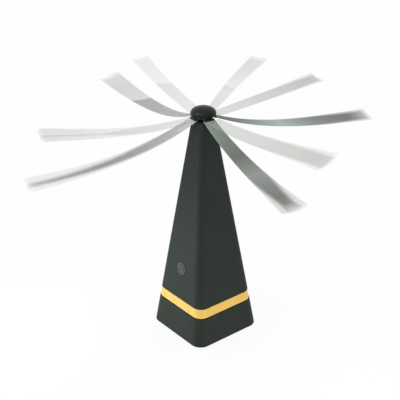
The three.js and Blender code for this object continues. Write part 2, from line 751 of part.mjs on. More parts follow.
// Three poles with slots between them, on the shaft.
function armature() {
  const radius = MOTOR_RADIUS - MOTOR_SHELL - GAP - MAGNET - ARMATURE_AIR;
  const bottom = MOTOR_MIDDLE - ARMATURE_LENGTH / 2;
  const top = MOTOR_MIDDLE + ARMATURE_LENGTH / 2;
  let body = solid(cylinder(radius, bottom, top));
  body = body.subtract(solid(cylinder(SHAFT_RADIUS + GAP, bottom - PAST, top + PAST, SMALL_STEPS)));
  for (let pole = 0; pole < 3; pole++) {
    const half = ARMATURE_SLOT / 2;
    const slot = box(radius / 2, radius + PAST, -half, half, bottom - PAST, top + PAST);
    slot.rotateZ((pole * 2 * Math.PI) / 3);
    body = body.subtract(solid(slot));
  }
  return shape(body);
}

function terminal() {
  const top = MOTOR_BOTTOM + MOTOR_END_CAP;
  const [x, y] = [TERMINAL_WIDTH / 2, CONTACT / 2];
  return box(-x, x, -y, y, top - TERMINAL_LENGTH, top);
}

function topBush() {
  const flangeTop = ROOF_UNDER - GAP;
  const bore = SHAFT_RADIUS + GAP;
  const top = TOWER_HEIGHT + BUSH_ABOVE;
  return turned([
    [bore, flangeTop - BUSH_FLANGE_HEIGHT],
    [BUSH_RADIUS + BUSH_FLANGE, flangeTop - BUSH_FLANGE_HEIGHT],
    [BUSH_RADIUS + BUSH_FLANGE, flangeTop],
    [BUSH_RADIUS, flangeTop],
    [BUSH_RADIUS, top],
    [bore, top],
    [bore, flangeTop - BUSH_FLANGE_HEIGHT],
  ]);
}

function addMotor() {
  add("motor_mount", motorMount(), darkPlastic);
  add("motor_can", motorCan(), steel);
  add("motor_end_cap", motorEndCap(), palePlastic);
  add("motor_armature", armature(), bronze);
  add("top_bush", topBush(), bronze);
  add("rotor_shaft", cylinder(SHAFT_RADIUS, MOTOR_BOTTOM - SHAFT_BELOW_MOTOR, SHAFT_TOP, SMALL_STEPS), steel);
  [-1, 1].forEach((side, index) => {
    const piece = add(`motor_magnet_${index + 1}`, magnet(), ferrite);
    piece.rotation.z = side > 0 ? Math.PI / 2 : -Math.PI / 2;
    const tab = add(`motor_terminal_${index + 1}`, terminal(), brass);
    tab.position.x = side * TERMINAL_OFFSET;
  });
  MOUNT_BOSSES.forEach(([x, y], index) => {
    const piece = add(`mount_screw_${index + 1}`, smallScrew(MOUNT_SCREW_LENGTH), steel);
    piece.position.set(x, y, MOUNT_BOTTOM - GAP);
  });
}

// ---- Rotor --------------------------------------------------------------------------------------

function bladeAngle(index) {
  return THREE.MathUtils.degToRad(FIRST_BLADE_ANGLE + (index * 360) / BLADE_COUNT);
}

// A round bar across the blade's direction, at the pivot.
function pivotBar(radius, from, to) {
  const bar = cylinder(radius, from, to, SMALL_STEPS);
  bar.rotateX(-Math.PI / 2);
  return moved(bar, PIVOT_OUT, 0, PIVOT_HEIGHT);
}

function rotorHub() {
  const earStart = BARREL_HALF + GAP;
  const earEnd = earStart + EAR;
  let body = solid(cylinder(HUB_RADIUS, TOWER_HEIGHT + HUB_BOTTOM, TOWER_HEIGHT + HUB_TOP));
  const neckTop = TOWER_HEIGHT + HUB_BOTTOM + PAST;
  body = body.add(solid(cylinder(HUB_NECK, TOWER_HEIGHT + HUB_NECK_BOTTOM, neckTop)));
  for (let blade = 0; blade < BLADE_COUNT; blade++) {
    for (const side of [-1, 1]) {
      const [from, to] = side > 0 ? [earStart, earEnd] : [-earEnd, -earStart];
      const web = box(0, PIVOT_OUT, from, to, PIVOT_HEIGHT - EAR_RADIUS, PIVOT_HEIGHT + EAR_RADIUS);
      const ear = solid(web).add(solid(pivotBar(EAR_RADIUS, from, to)));
      body = body.add(ear.rotate([0, 0, THREE.MathUtils.radToDeg(bladeAngle(blade))]));
    }
  }
  body = body.subtract(barrelRoom());
  body = body.subtract(
    solid(cylinder(SHAFT_RADIUS + GAP, TOWER_HEIGHT, TOWER_HEIGHT + HUB_TOP + PAST, SMALL_STEPS)),
  );
  for (let blade = 0; blade < BLADE_COUNT; blade++) {
    const hole = solid(pivotBar(PIN_RADIUS + GAP, -earEnd - PAST, earEnd + PAST));
    body = body.subtract(hole.rotate([0, 0, THREE.MathUtils.radToDeg(bladeAngle(blade))]));
  }
  return shape(body);
}

// What is cut away between each pair of ears, so that the clip's barrel can turn.
function barrelRoom() {
  let room = null;
  const half = BARREL_HALF + GAP;
  for (let blade = 0; blade < BLADE_COUNT; blade++) {
    const [bottom, top] = [PIVOT_HEIGHT - BARREL_ROOM, PIVOT_HEIGHT + BARREL_ROOM];
    const slot = box(HUB_RADIUS, PIVOT_OUT + 2 * EAR_RADIUS, -half, half, bottom, top);
    slot.rotateZ(bladeAngle(blade));
    room = room ? room.add(solid(slot)) : solid(slot);
  }
  return room;
}

function domeProfile(radius, bottom, rim, height, steps) {
  const profile = [];
  for (let step = 0; step <= steps; step++) {
    const angle = (step / steps) * (Math.PI / 2);
    profile.push([radius * Math.cos(angle), bottom + rim + (height - rim) * Math.sin(angle)]);
  }
  profile[steps][0] = 0;
  return profile;
}

function rotorCap() {
  const bossBottom = TOWER_HEIGHT + HUB_TOP + GAP;
  const insideRadius = CAP_RADIUS - CAP_WALL;
  const outer = turned([
    [0, CAP_RIM_BOTTOM],
    [CAP_RADIUS, CAP_RIM_BOTTOM],
    ...domeProfile(CAP_RADIUS, CAP_RIM_BOTTOM, CAP_RIM, CAP_HEIGHT, DOME_STEPS),
  ]);
  const inner = turned([
    [0, CAP_RIM_BOTTOM - PAST],
    [insideRadius, CAP_RIM_BOTTOM - PAST],
    ...domeProfile(insideRadius, CAP_RIM_BOTTOM, CAP_RIM, CAP_HEIGHT - CAP_WALL, DOME_STEPS - 1),
  ]);
  const boss = solid(cylinder(CAP_BOSS, bossBottom, CAP_RIM_BOTTOM + CAP_HEIGHT - CAP_WALL / 2));
  const socket = cylinder(SHAFT_RADIUS + GAP, bossBottom - PAST, SHAFT_TOP + GAP, SMALL_STEPS);
  return shape(solid(outer).subtract(solid(inner)).add(boss).subtract(solid(socket)));
}

// The clip in its own frame: x runs out along the film from the pivot's axis, y along the pin.
function bladeClip() {
  const half = SLOT / 2 + CLIP_JAW;
  const end = CLIP_BACK + CLIP_LENGTH;
  const jaws = solid(box(CLIP_BACK, end, -CLIP_HALF_WIDTH, CLIP_HALF_WIDTH, -half, half));
  const slotReach = CLIP_HALF_WIDTH + PAST;
  const slot = solid(box(CLIP_BACK + CLIP_WEB, end + PAST, -slotReach, slotReach, -SLOT / 2, SLOT / 2));
  const barrel = cylinder(BARREL_RADIUS, -BARREL_HALF, BARREL_HALF, SMALL_STEPS);
  barrel.rotateX(Math.PI / 2);
  const arm = solid(box(0, CLIP_BACK + CLIP_WEB, -BARREL_HALF, BARREL_HALF, -half, half));
  const bore = cylinder(PIN_RADIUS + GAP, -BARREL_HALF - PAST, BARREL_HALF + PAST, SMALL_STEPS);
  bore.rotateX(Math.PI / 2);
  return shape(jaws.subtract(slot).add(arm).add(solid(barrel)).subtract(solid(bore)));
}

// Where the film's middle line is, and how it lies, at a share of the way from pivot to tip.
function filmStation(share, flutter) {
  const fall = -BLADE_LENGTH * Math.tan(THREE.MathUtils.degToRad(BLADE_ROOT_SLOPE));
  const height = fall * share + (BLADE_RISE + flutter.lift) * share ** 2 + BLADE_LEVEL * share ** 3;
  const radius = PIVOT_OUT + BLADE_LENGTH * share;
  const sweep = THREE.MathUtils.degToRad(flutter.sweep) * share ** 1.5;
  const twist = THREE.MathUtils.degToRad(flutter.twist) * share;
  const middle = new THREE.Vector3(radius * Math.cos(sweep), radius * Math.sin(sweep), PIVOT_HEIGHT + height);
  const across = new THREE.Vector3(-Math.sin(sweep) * Math.cos(twist), Math.cos(sweep) * Math.cos(twist), 0);
  across.z = Math.sin(twist);
  return { middle, across };
}

function filmHalfWidths(share) {
  const half = (BLADE_ROOT_WIDTH + (BLADE_TIP_WIDTH - BLADE_ROOT_WIDTH) * share) / 2;
  const intoCorner = Math.max(0, TIP_CORNER - BLADE_LENGTH * (1 - share));
  const cut = TIP_CORNER - Math.sqrt(TIP_CORNER ** 2 - intoCorner ** 2);
  return { leading: half - cut, trailing: half };
}

function filmShares() {
  const start = (CLIP_BACK + CLIP_WEB + GAP) / BLADE_LENGTH;
  const cornerStart = 1 - TIP_CORNER / BLADE_LENGTH;
  const shares = [];
  for (let i = 0; i < BLADE_STATIONS; i++) {
    shares.push(start + (cornerStart - start) * (i / (BLADE_STATIONS - 1)));
  }
  for (let step = 1; step <= TIP_STEPS; step++) {
    const angle = (step / TIP_STEPS) * (Math.PI / 2);
    shares.push(1 - (TIP_CORNER / BLADE_LENGTH) * (1 - Math.sin(angle)));
  }
  return shares;
}

function bladeFilm(flutter) {
  const stations = filmShares().map((share) => ({ share, ...filmStation(share, flutter) }));
  const rings = stations.map(({ share, middle, across }, index) => {
    const ahead = stations[Math.min(index + 1, stations.length - 1)].middle;
    const behind = stations[Math.max(index - 1, 0)].middle;
    const along = ahead.clone().sub(behind).normalize();
    const normal = new THREE.Vector3().crossVectors(along, across).normalize();
    const { leading, trailing } = filmHalfWidths(share);
    const top = [];
    const bottom = [];
    for (let column = 0; column <= BLADE_COLUMNS; column++) {
      const offset = -leading + (leading + trailing) * (column / BLADE_COLUMNS);
      const side = (2 * column) / BLADE_COLUMNS - 1;
      const sag = -BLADE_TROUGH * share * (1 - side ** 2);
      const point = middle.clone().addScaledVector(across, offset);
      top.push(point.clone().addScaledVector(normal, sag + FILM / 2));
      bottom.push(point.clone().addScaledVector(normal, sag - FILM / 2));
    }
    return [...top, ...bottom.reverse()];
  });
  const ladder = [];
  const last = 2 * BLADE_COLUMNS + 1;
  for (let column = 0; column < BLADE_COLUMNS; column++) {
    ladder.push([column, column + 1, last - column], [column + 1, last - column - 1, last - column]);
  }
  return loft(rings, ladder);
}

function addRotor() {
  add("rotor_hub", rotorHub(), darkPlastic);
  add("rotor_cap", rotorCap(), blackPlastic);
  for (let blade = 0; blade < BLADE_COUNT; blade++) {
    const station = new THREE.Group();
    station.rotation.z = bladeAngle(blade);
    model.add(station);
    const earEnd = BARREL_HALF + GAP + EAR;
    add(`hinge_pin_${blade + 1}`, pivotBar(PIN_RADIUS, -earEnd, earEnd), steel, station);
    const clip = add(`blade_clip_${blade + 1}`, bladeClip(), darkPlastic, station);
    clip.position.set(PIVOT_OUT, 0, PIVOT_HEIGHT);
    clip.rotation.y = THREE.MathUtils.degToRad(BLADE_ROOT_SLOPE);
    add(`blade_film_${blade + 1}`, bladeFilm(FLUTTER[blade]), film, station);
  }
}

// ---- Leads --------------------------------------------------------------------------------------

function lead(points) {
  const curve = new THREE.CatmullRomCurve3(points.map(([x, y, z]) => new THREE.Vector3(x, y, z)));
  return alongPath(curve, WIRE_RADIUS, LEAD_SIDES, LEAD_STEPS);
}

// Two leads climb from the tray to the board's lower edge, and two go on from its upper edge to the
// motor's terminals.
function addLeads() {
  const boardBack = BOARD_FRONT - BOARD - GAP - WIRE_RADIUS;
  const solder = (x, y, out) => new THREE.Vector3(x, y, boardBack - out).applyMatrix4(frontFrame()).toArray();
  const trayEnd = BAY_LENGTH / 2 + TRAY_WALL + GAP + WIRE_RADIUS;
  const trayHeight = CELL_AXIS + CELL_RADIUS / 2;
  const boardEdge = BOARD_HEIGHT / 2 - SOLDER_INSET;
  const tabBottom = MOTOR_BOTTOM + MOTOR_END_CAP - TERMINAL_LENGTH;
  [[-1, redWire, "red"], [1, blackWire, "black"]].forEach(([side, material, colour]) => {
    const across = side * LEAD_SPREAD;
    const supply = [
      [side * trayEnd, 0, trayHeight],
      [side * trayEnd, 0, trayHeight + SUPPLY_RISE],
      [(side * trayEnd + across) / 2, -LEAD_BACK, trayHeight + 2 * SUPPLY_RISE],
      solder(across, -boardEdge - SUPPLY_DROOP, SUPPLY_OUT),
      solder(across, -boardEdge, 0),
    ];
    add(`battery_lead_${colour}`, lead(supply), material);
    const tab = side * TERMINAL_OFFSET;
    const feed = [
      solder(across, boardEdge, 0),
      solder(across, boardEdge + FEED_RISE, FEED_OUT),
      [tab, -LEAD_BACK, tabBottom - FEED_HANG],
      [tab, -LEAD_END_BACK, tabBottom - FEED_STRAIGHT],
      [tab, 0, tabBottom - GAP],
    ];
    add(`motor_lead_${colour}`, lead(feed), material);
  });
}

addHousing();
addCells();
addControls();
addMotor();
addRotor();
addLeads();

export default model;
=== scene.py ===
# The looks of a table-top fly fan: a grained black tower with a yellow band, a satin domed rotor cap and
# soft smoky films. Metres, +Z up, the button faces -Y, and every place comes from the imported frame.

import json
import math

import bmesh
import bpy
from mathutils import Matrix, Vector

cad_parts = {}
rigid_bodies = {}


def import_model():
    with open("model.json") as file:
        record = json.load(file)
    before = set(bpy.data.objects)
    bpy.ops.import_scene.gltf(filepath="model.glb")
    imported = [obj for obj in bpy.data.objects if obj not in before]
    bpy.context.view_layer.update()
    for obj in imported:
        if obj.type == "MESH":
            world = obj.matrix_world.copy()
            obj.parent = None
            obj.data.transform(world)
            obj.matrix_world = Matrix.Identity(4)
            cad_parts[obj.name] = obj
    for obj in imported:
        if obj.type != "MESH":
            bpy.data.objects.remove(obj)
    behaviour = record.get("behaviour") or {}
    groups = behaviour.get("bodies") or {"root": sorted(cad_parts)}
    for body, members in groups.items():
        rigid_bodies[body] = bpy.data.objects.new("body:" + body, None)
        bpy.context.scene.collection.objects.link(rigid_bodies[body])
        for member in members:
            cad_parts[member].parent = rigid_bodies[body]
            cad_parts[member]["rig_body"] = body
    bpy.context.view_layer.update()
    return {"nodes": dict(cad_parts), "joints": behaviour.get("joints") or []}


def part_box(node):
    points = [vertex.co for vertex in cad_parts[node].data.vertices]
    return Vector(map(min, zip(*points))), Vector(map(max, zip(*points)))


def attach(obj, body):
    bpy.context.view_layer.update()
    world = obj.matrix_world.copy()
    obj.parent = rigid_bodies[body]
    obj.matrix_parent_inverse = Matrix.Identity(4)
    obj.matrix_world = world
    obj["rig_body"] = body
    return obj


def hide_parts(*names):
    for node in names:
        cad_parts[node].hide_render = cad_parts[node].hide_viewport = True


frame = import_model()
MM = 0.001

# ---- Sizes that the frame doesn't hold ----

GAP = 0.3 * MM
WALL = 2.2 * MM
ROOF = 2.6 * MM
BASE_CORNER = 13 * MM
TOP_CORNER = 5 * MM
TOP_EDGE = 1.6 * MM
BAND_GROOVE = 0.6 * MM
BAND_INSET = 0.6 * MM
FINE_EDGE = 0.35 * MM
SKIRT_EDGE = 0.8 * MM
COLLAR_WALL = 1.8 * MM
COLLAR_BELOW = 7.4 * MM
LEDGE_DEPTH = 2.3 * MM
LEDGE_BOTTOM = 4.3 * MM
LEDGE_HEIGHT = 2.5 * MM
LEAST_CORNER = 1 * MM
OVERCUT = 1 * MM

BUTTON_PROUD = 0.5 * MM
BUTTON_FLANGE = 1.2 * MM
BUTTON_FLANGE_HEIGHT = 1.3 * MM
BUTTON_STEM = 1.5 * MM
BUTTON_RING = 1.2 * MM
BUTTON_DISH = 0.35 * MM
SIGN_RADIUS = 3.7 * MM
SIGN_STROKE = 0.85 * MM
SIGN_HEIGHT = 0.3 * MM
SIGN_OPENING = 38
SIGN_BAR = (0.25, 0.6, 1.0, 1.3)

BUSH_RADIUS = 2.7 * MM
POST_RADIUS = 3.2 * MM
POST_TOP = 92 * MM
MOUNT_BOSS_RADIUS = 2.2 * MM
MOUNT_BOSS_LENGTH = 32 * MM
BOARD_POST_RADIUS = 2.2 * MM
BASE_SCREW_RADIUS = 1.25 * MM
BASE_SCREW_HEAD = 2.6 * MM
BASE_SCREW_HEAD_HEIGHT = 1.2 * MM
SMALL_SCREW_RADIUS = 0.9 * MM
SMALL_SCREW_HEAD = 1.9 * MM
SMALL_SCREW_HEAD_HEIGHT = 1.1 * MM
THREAD_DEPTH = 0.22 * MM
THREAD_PITCH = 0.8 * MM
THREAD_VALLEY_START = 0.3
THREAD_VALLEY_END = 0.6
CROSS_REACH = 0.62
CROSS_WIDTH = 0.16
CROSS_DEPTH = 0.6
FOOT_EDGE = 0.4 * MM
FOOT_DIMPLE = 0.45
FOOT_TREAD = 0.6
CELL_EDGE = 0.9 * MM
CELL_COLLAR = 0.55
CELL_RECESS = 0.3 * MM
CELL_BASE_RECESS = 0.25 * MM
CELL_BASE_LIP = 0.5 * MM
CELL_NUB = 2.6 * MM
CELL_NUB_HEIGHT = 1.2 * MM
CELL_NUB_EDGE = 0.5 * MM
MOTOR_SHELL = 0.8 * MM
MOTOR_EDGE = 0.6 * MM
BUSH_FLANGE = 0.9 * MM
BUSH_FLANGE_HEIGHT = 1.2 * MM
BUSH_EDGE = 0.2 * MM
SHAFT_RADIUS = 1.0 * MM
SHAFT_CHAMFER = 0.2 * MM

GROOVE_COUNT = 4
GROOVE_FROM_END = 10 * MM
GROOVE_STEP = 2.4 * MM
GROOVE_RADIUS = 0.9 * MM
GROOVE_HALF_LENGTH = 6 * MM
GROOVE_DEPTH = 0.45 * MM

CAP_WALL = 1.6 * MM
CAP_RIM = 2.4 * MM
CAP_BOSS = 3.4 * MM
CAP_EDGE = 0.5 * MM
CAP_SEAM = 0.22 * MM
DOME_STEPS = 32
DOME_INNER_STEPS = 24

FILM = 0.5 * MM
ROOT_SLOPE = math.radians(24.5)
ROOT_WIDTH = 13.3 * MM
TIP_WIDTH = 25.8 * MM
BLADE_REACH = 203 * MM
BLADE_RISE = 86.5 * MM
BLADE_LEVEL = -18.4 * MM
BLADE_TROUGH = 1.6 * MM
TIP_CORNER = 6 * MM
FILM_START = 3.2 * MM
FILM_SPACING = 1.5
SWEEP_GROWTH = 1.5
CREASE_SOFTNESS = 0.012
STRIP_START = 6 * MM
STRIP_PIVOT_OUT = 8.6 * MM
STRIP_PIVOT_HEIGHT = 256 * MM

CORNER_STEPS = 14
EDGE_STEPS = 6
ROUND_STEPS = 96
BLADE_STATIONS = 150
BLADE_COLUMNS = 17
MERGE = 1e-6
FRAME_MERGE = 2e-6
SHARP_FROM = 35

FLOOR_REACH = 6.0
FLOOR_LEVEL = -0.1 * MM
FLOOR_WHITE = 0.93
FLOOR_GLOW = 0.9
SKY = 0.92
SKY_SEEN = 0.08
CAMERA_PITCH = math.radians(25.797)
CAMERA_TURN = math.radians(51.543)
CAMERA_ROLL = math.radians(0.581)
CAMERA_PLACE = (-0.0044, -0.8763, 0.5819)
CAMERA_FOCAL = 78.96
CAMERA_SENSOR = 36
CAMERA_NEAR = 0.05
CAMERA_FAR = 20

# ---- Places that the frame gives ----

joints = {joint["name"]: joint for joint in frame["joints"]}
shell_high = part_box("tower_shell")[1]
band_low, band_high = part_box("trim_band")
skirt_low, skirt_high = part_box("base_skirt")
cap_low, cap_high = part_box("rotor_cap")
SKIRT_TOP = band_low.z - BAND_GROOVE
TOWER_BOTTOM = band_high.z + BAND_GROOVE
TOWER_TOP = shell_high.z
LEAN_RATE = (skirt_high.x - shell_high.x) / (TOWER_BOTTOM - skirt_low.z)


def half_at(z):
    """Half the side of the leaning outside at a height."""
    return skirt_high.x - LEAN_RATE * (z - skirt_low.z)


def corner_at(z):
    return BASE_CORNER - (BASE_CORNER - TOP_CORNER) * z / TOWER_TOP


# ---- Node trees written as expressions ----


class Value:
    """A number, vector or colour that a node gives. Arithmetic on it adds Math nodes."""

    def __init__(self, net, socket):
        self.net = net
        self.socket = socket

    def maths(self, operation, *values):
        inputs = dict(enumerate(values))
        return self.net.node("ShaderNodeMath", {"operation": operation}, inputs)

    def __pow__(self, other):
        return self.maths("POWER", self, other)

    def __neg__(self):
        return self.maths("MULTIPLY", self, -1.0)

    def call(self, operation, *others):
        return self.maths(operation, self, *others)

    def rise(self, low, high):
        """0 below low and 1 above high, with a soft step between them."""
        settings = {"interpolation_type": "SMOOTHSTEP"}
        return self.net.node("ShaderNodeMapRange", settings, {"Value": self, 1: low, 2: high})


def add_arithmetic(name, operation):
    """Lets a Value stand on either side of one of Python's signs."""
    setattr(Value, f"__{name}__", lambda left, right: left.maths(operation, left, right))
    setattr(Value, f"__r{name}__", lambda right, left: right.maths(operation, left, right))


for python_name, node_operation in (
    ("add", "ADD"), ("sub", "SUBTRACT"), ("mul", "MULTIPLY"), ("truediv", "DIVIDE"),
):
    add_arithmetic(python_name, node_operation)


class Net:
    """A node tree being built."""

    def __init__(self, tree):
        self.tree = tree

    def node(self, kind, settings=None, inputs=None, output=0):
        made = self.tree.nodes.new(kind)
        for name, setting in (settings or {}).items():
            if name == "stops":
                self.set_stops(made.color_ramp, setting)
            else:
                setattr(made, name, setting)
        for name, value in (inputs or {}).items():
            for source in value if isinstance(value, list) else [value]:
                if isinstance(source, Value):
                    self.tree.links.new(source.socket, made.inputs[name])
                else:
                    made.inputs[name].default_value = source
        return Value(self, made.outputs[output])

    def set_stops(self, ramp, stops):
        while len(ramp.elements) < len(stops):
            ramp.elements.new(1.0)
        for element, (place, colour) in zip(ramp.elements, stops):
            element.position = place
            element.color = (*colour, 1.0)

    def vector(self, operation, *values):
        return self.node("ShaderNodeVectorMath", {"operation": operation}, dict(enumerate(values)))

    def scaled(self, vector, factor):
        return self.node("ShaderNodeVectorMath", {"operation": "SCALE"}, {0: vector, "Scale": factor})

    def combine(self, x, y, z):
        return self.node("ShaderNodeCombineXYZ", None, {"X": x, "Y": y, "Z": z})

    def split(self, vector):
        return [self.node("ShaderNodeSeparateXYZ", None, {0: vector}, output) for output in range(3)]

    def blend(self, factor, first, second):
        return self.node("ShaderNodeMix", {"data_type": "RGBA"}, {0: factor, 6: first, 7: second}, 2)


class Paint(Net):
    """A material being built round one Principled shader."""

    def __init__(self, name, **constants):
        self.material = bpy.data.materials.new(name)
        self.material.use_nodes = True
        super().__init__(self.material.node_tree)
        self.shader = next(n for n in self.tree.nodes if n.type == "BSDF_PRINCIPLED")
        self.coordinates = self.node("ShaderNodeTexCoord", output=3)
        for socket, value in constants.items():
            self.shader.inputs[socket.replace("_", " ")].default_value = value

    def feed(self, socket, value):
        self.tree.links.new(value.socket, self.shader.inputs[socket])

    def noise(self, scale, detail=2.0, roughness=0.5, vector=None):
        """Smooth unevenness from 0 to 1. The scale is in waves per metre."""
        place = vector or self.coordinates
        inputs = {"Vector": place, "Scale": scale, "Detail": detail, "Roughness": roughness}
        return self.node("ShaderNodeTexNoise", None, inputs)

    def attribute(self, name):
        return self.node("ShaderNodeAttribute", {"attribute_name": name}, output=2)

    def bump(self, height, distance):
        inputs = {"Height": height, "Distance": distance, "Strength": 1.0}
        self.feed("Normal", self.node("ShaderNodeBump", None, inputs))


def colour(red, green, blue):
    return (red, green, blue, 1.0)


# ---- Finishes ----


def grained_plastic(name, dark, light, roughness, specular=0.4, grain=0.05 * MM):
    """Spark-grained moulded plastic: a fine pebble, broad cloudiness, and worn shine on the pebbles."""
    paint = Paint(name, Specular_IOR_Level=specular)
    cloud = paint.noise(45, 3)
    pebble = paint.noise(2600, 2)
    speck = paint.noise(900, 3, 0.6)
    mottle = (0.6 * cloud + 0.4 * speck).rise(0.3, 0.7)
    paint.feed("Base Color", paint.blend(mottle, dark, light))
    paint.feed("Roughness", roughness - 0.06 + 0.12 * speck)
    paint.bump(0.7 * pebble + 0.3 * speck, grain)
    return paint.material


def satin_plastic(name, dark, light, roughness, specular=0.5):
    """Smooth moulded plastic with faint flow marks and a trace of handling in its shine."""
    paint = Paint(name, Specular_IOR_Level=specular)
    flow = paint.noise(70, 3)
    fine = paint.noise(1500, 2)
    paint.feed("Base Color", paint.blend(flow.rise(0.3, 0.7), dark, light))
    paint.feed("Roughness", roughness - 0.05 + 0.1 * flow)
    paint.bump(fine, 0.01 * MM)
    return paint.material


def rubber(name):
    """Dull rubber with dust in it."""
    paint = Paint(name, Specular_IOR_Level=0.3)
    dust = paint.noise(400, 4, 0.65)
    clean = colour(0.012, 0.012, 0.012)
    dusty = colour(0.04, 0.04, 0.038)
    paint.feed("Base Color", paint.blend(dust.rise(0.45, 0.8), clean, dusty))
    paint.feed("Roughness", 0.75 + 0.2 * dust)
    paint.bump(dust, 0.05 * MM)
    return paint.material


def drawn_metal(name, dark, light, roughness, stretch=(1, 1, 12)):
    """Drawn or rolled metal: fine streaks along one direction, and a little tarnish."""
    paint = Paint(name, Metallic=1.0)
    streaked = paint.node("ShaderNodeMapping", None, {"Vector": paint.coordinates, "Scale": stretch})
    streak = paint.noise(700, 3, 0.6, streaked)
    tarnish = paint.noise(160, 3)
    paint.feed("Base Color", paint.blend((0.5 * streak + 0.5 * tarnish).rise(0.3, 0.7), dark, light))
    paint.feed("Roughness", roughness - 0.08 + 0.16 * streak)
    paint.bump(streak, 0.01 * MM)
    return paint.material


def board_mask(name):
    """Solder mask over copper tracks."""
    paint = Paint(name, Specular_IOR_Level=0.5)
    x, _, z = paint.split(paint.coordinates)
    track = ((x * 1400).call("SINE") * (z * 900).call("SINE")).rise(0.35, 0.45)
    paint.feed("Base Color", paint.blend(track, colour(0.012, 0.10, 0.035), colour(0.03, 0.22, 0.08)))
    paint.feed("Roughness", 0.3 + 0.15 * paint.noise(500))
    paint.bump(track, 0.03 * MM)
    return paint.material


def wire_sheath(name, tone):
    """Soft plastic round a wire, paler where it is scuffed."""
    paint = Paint(name, Specular_IOR_Level=0.4)
    scuff = paint.noise(900, 3)
    worn = tuple(min(1.0, 1.6 * part + 0.01) for part in tone[:3])
    paint.feed("Base Color", paint.blend(scuff.rise(0.4, 0.8), tone, colour(*worn)))
    paint.feed("Roughness", 0.4 + 0.2 * scuff)
    return paint.material


def winding(name):
    """Enamelled copper wire between the poles' laminations."""
    paint = Paint(name, Metallic=1.0)
    _, _, z = paint.split(paint.coordinates)
    sheet = (z * (2 * math.pi / (0.5 * MM))).call("SINE").rise(-0.4, 0.4)
    paint.feed("Base Color", paint.blend(sheet, colour(0.45, 0.17, 0.06), colour(0.72, 0.34, 0.14)))
    paint.feed("Roughness", 0.35 + 0.2 * paint.noise(600))
    paint.bump(sheet, 0.05 * MM)
    return paint.material


BLACK = grained_plastic(
    "black_grain", colour(0.0105, 0.0155, 0.0115), colour(0.0145, 0.020, 0.015), roughness=0.66, specular=0.24
)
CAP_BLACK = satin_plastic(
    "cap_satin", colour(0.006, 0.0105, 0.007), colour(0.008, 0.0125, 0.009), roughness=0.33, specular=0.14
)
BUTTON_BLACK = satin_plastic(
    "button_satin", colour(0.012, 0.0175, 0.0135), colour(0.016, 0.022, 0.017), roughness=0.5, specular=0.3
)
SIGN_GREY = satin_plastic(
    "sign_relief", colour(0.036, 0.045, 0.040), colour(0.046, 0.055, 0.049), roughness=0.45, specular=0.35
)
YELLOW = satin_plastic("band_yellow", colour(0.73, 0.445, 0.085), colour(0.77, 0.485, 0.105), 0.42, 0.4)
DARK = satin_plastic("dark_plastic", colour(0.012, 0.014, 0.013), colour(0.02, 0.022, 0.021), 0.5, 0.4)
PALE = satin_plastic("pale_plastic", colour(0.62, 0.62, 0.56), colour(0.70, 0.70, 0.65), 0.45, 0.5)
JACKET = satin_plastic("cell_jacket", colour(0.16, 0.18, 0.21), colour(0.22, 0.24, 0.27), 0.35, 0.5)
FERRITE = grained_plastic("magnet_ferrite", colour(0.02, 0.02, 0.022), colour(0.045, 0.045, 0.05), 0.7, 0.4)
RUBBER = rubber("foot_rubber")
STEEL = drawn_metal("bright_steel", colour(0.42, 0.43, 0.44), colour(0.62, 0.63, 0.64), 0.32)
BRASS = drawn_metal("contact_brass", colour(0.55, 0.38, 0.13), colour(0.78, 0.58, 0.24), 0.3)
# The bush's bronze is kept very dark: painted shade, because the bush shows in the shaded gap under the cap.
SHADED_BRONZE = drawn_metal("bush_bronze_shaded", colour(0.10, 0.065, 0.035), colour(0.16, 0.105, 0.055), 0.45, (1, 1, 1))
COPPER = winding("armature_copper")
BOARD = board_mask("board_green")
RED = wire_sheath("red_sheath", colour(0.42, 0.03, 0.02))
BLACK_WIRE = wire_sheath("black_sheath", colour(0.012, 0.012, 0.012))

# ---- Mesh code ----


def mesh_of(points, faces):
    mesh = bpy.data.meshes.new("piece")
    mesh.from_pydata([tuple(point) for point in points], [], faces)
    return tidied(mesh)


def tidied(mesh, angle=SHARP_FROM):
    """The mesh with its doubles merged, its faces outwards, and soft shading up to that angle."""
    work = bmesh.new()
    work.from_mesh(mesh)
    bmesh.ops.remove_doubles(work, verts=work.verts, dist=MERGE)
    bmesh.ops.dissolve_degenerate(work, edges=work.edges, dist=MERGE / 10)
    bmesh.ops.recalc_face_normals(work, faces=work.faces)
    work.to_mesh(mesh)
    work.free()
    mesh.shade_smooth()
    mesh.set_sharp_from_angle(angle=math.radians(angle))
    return mesh


def square_ring(half, radius, z):
    """A rounded square outline. With its radius as large as its half side it is a circle."""
    ring = []
    for quarter in range(4):
        middle = (quarter + 0.5) * math.pi / 2
        x = math.copysign(half - radius, math.cos(middle))
        y = math.copysign(half - radius, math.sin(middle))
        for step in range(CORNER_STEPS + 1):
            angle = (quarter + step / CORNER_STEPS) * math.pi / 2
            ring.append(Vector((x + radius * math.cos(angle), y + radius * math.sin(angle), z)))
    return ring


def tapered_ring(inset, z):
    return square_ring(half_at(z) - inset, max(corner_at(z) - inset, LEAST_CORNER), z)


def swept(rings, closed=True, caps=False):
    """A skin through rings of equally many points, closed on itself or with a cap at each end."""
    count = len(rings[0])
    points = [point for ring in rings for point in ring]
    faces = []
    for level in range(len(rings) if closed else len(rings) - 1):
        start = level * count
        above = (level + 1) % len(rings) * count
        for i in range(count):
            j = (i + 1) % count
            faces.append((start + i, start + j, above + j, above + i))
    if caps:
        faces.append(tuple(range(count)))
        faces.append(tuple(range(len(points) - count, len(points))))
    return mesh_of(points, faces)


def arc(centre, radius, start, end, steps=EDGE_STEPS):
    """Points [across, up] on an arc about a centre, between two angles in degrees."""
    points = []
    for step in range(steps + 1):
        angle = math.radians(start + (end - start) * step / steps)
        points.append((centre[0] + radius * math.cos(angle), centre[1] + radius * math.sin(angle)))
    return points


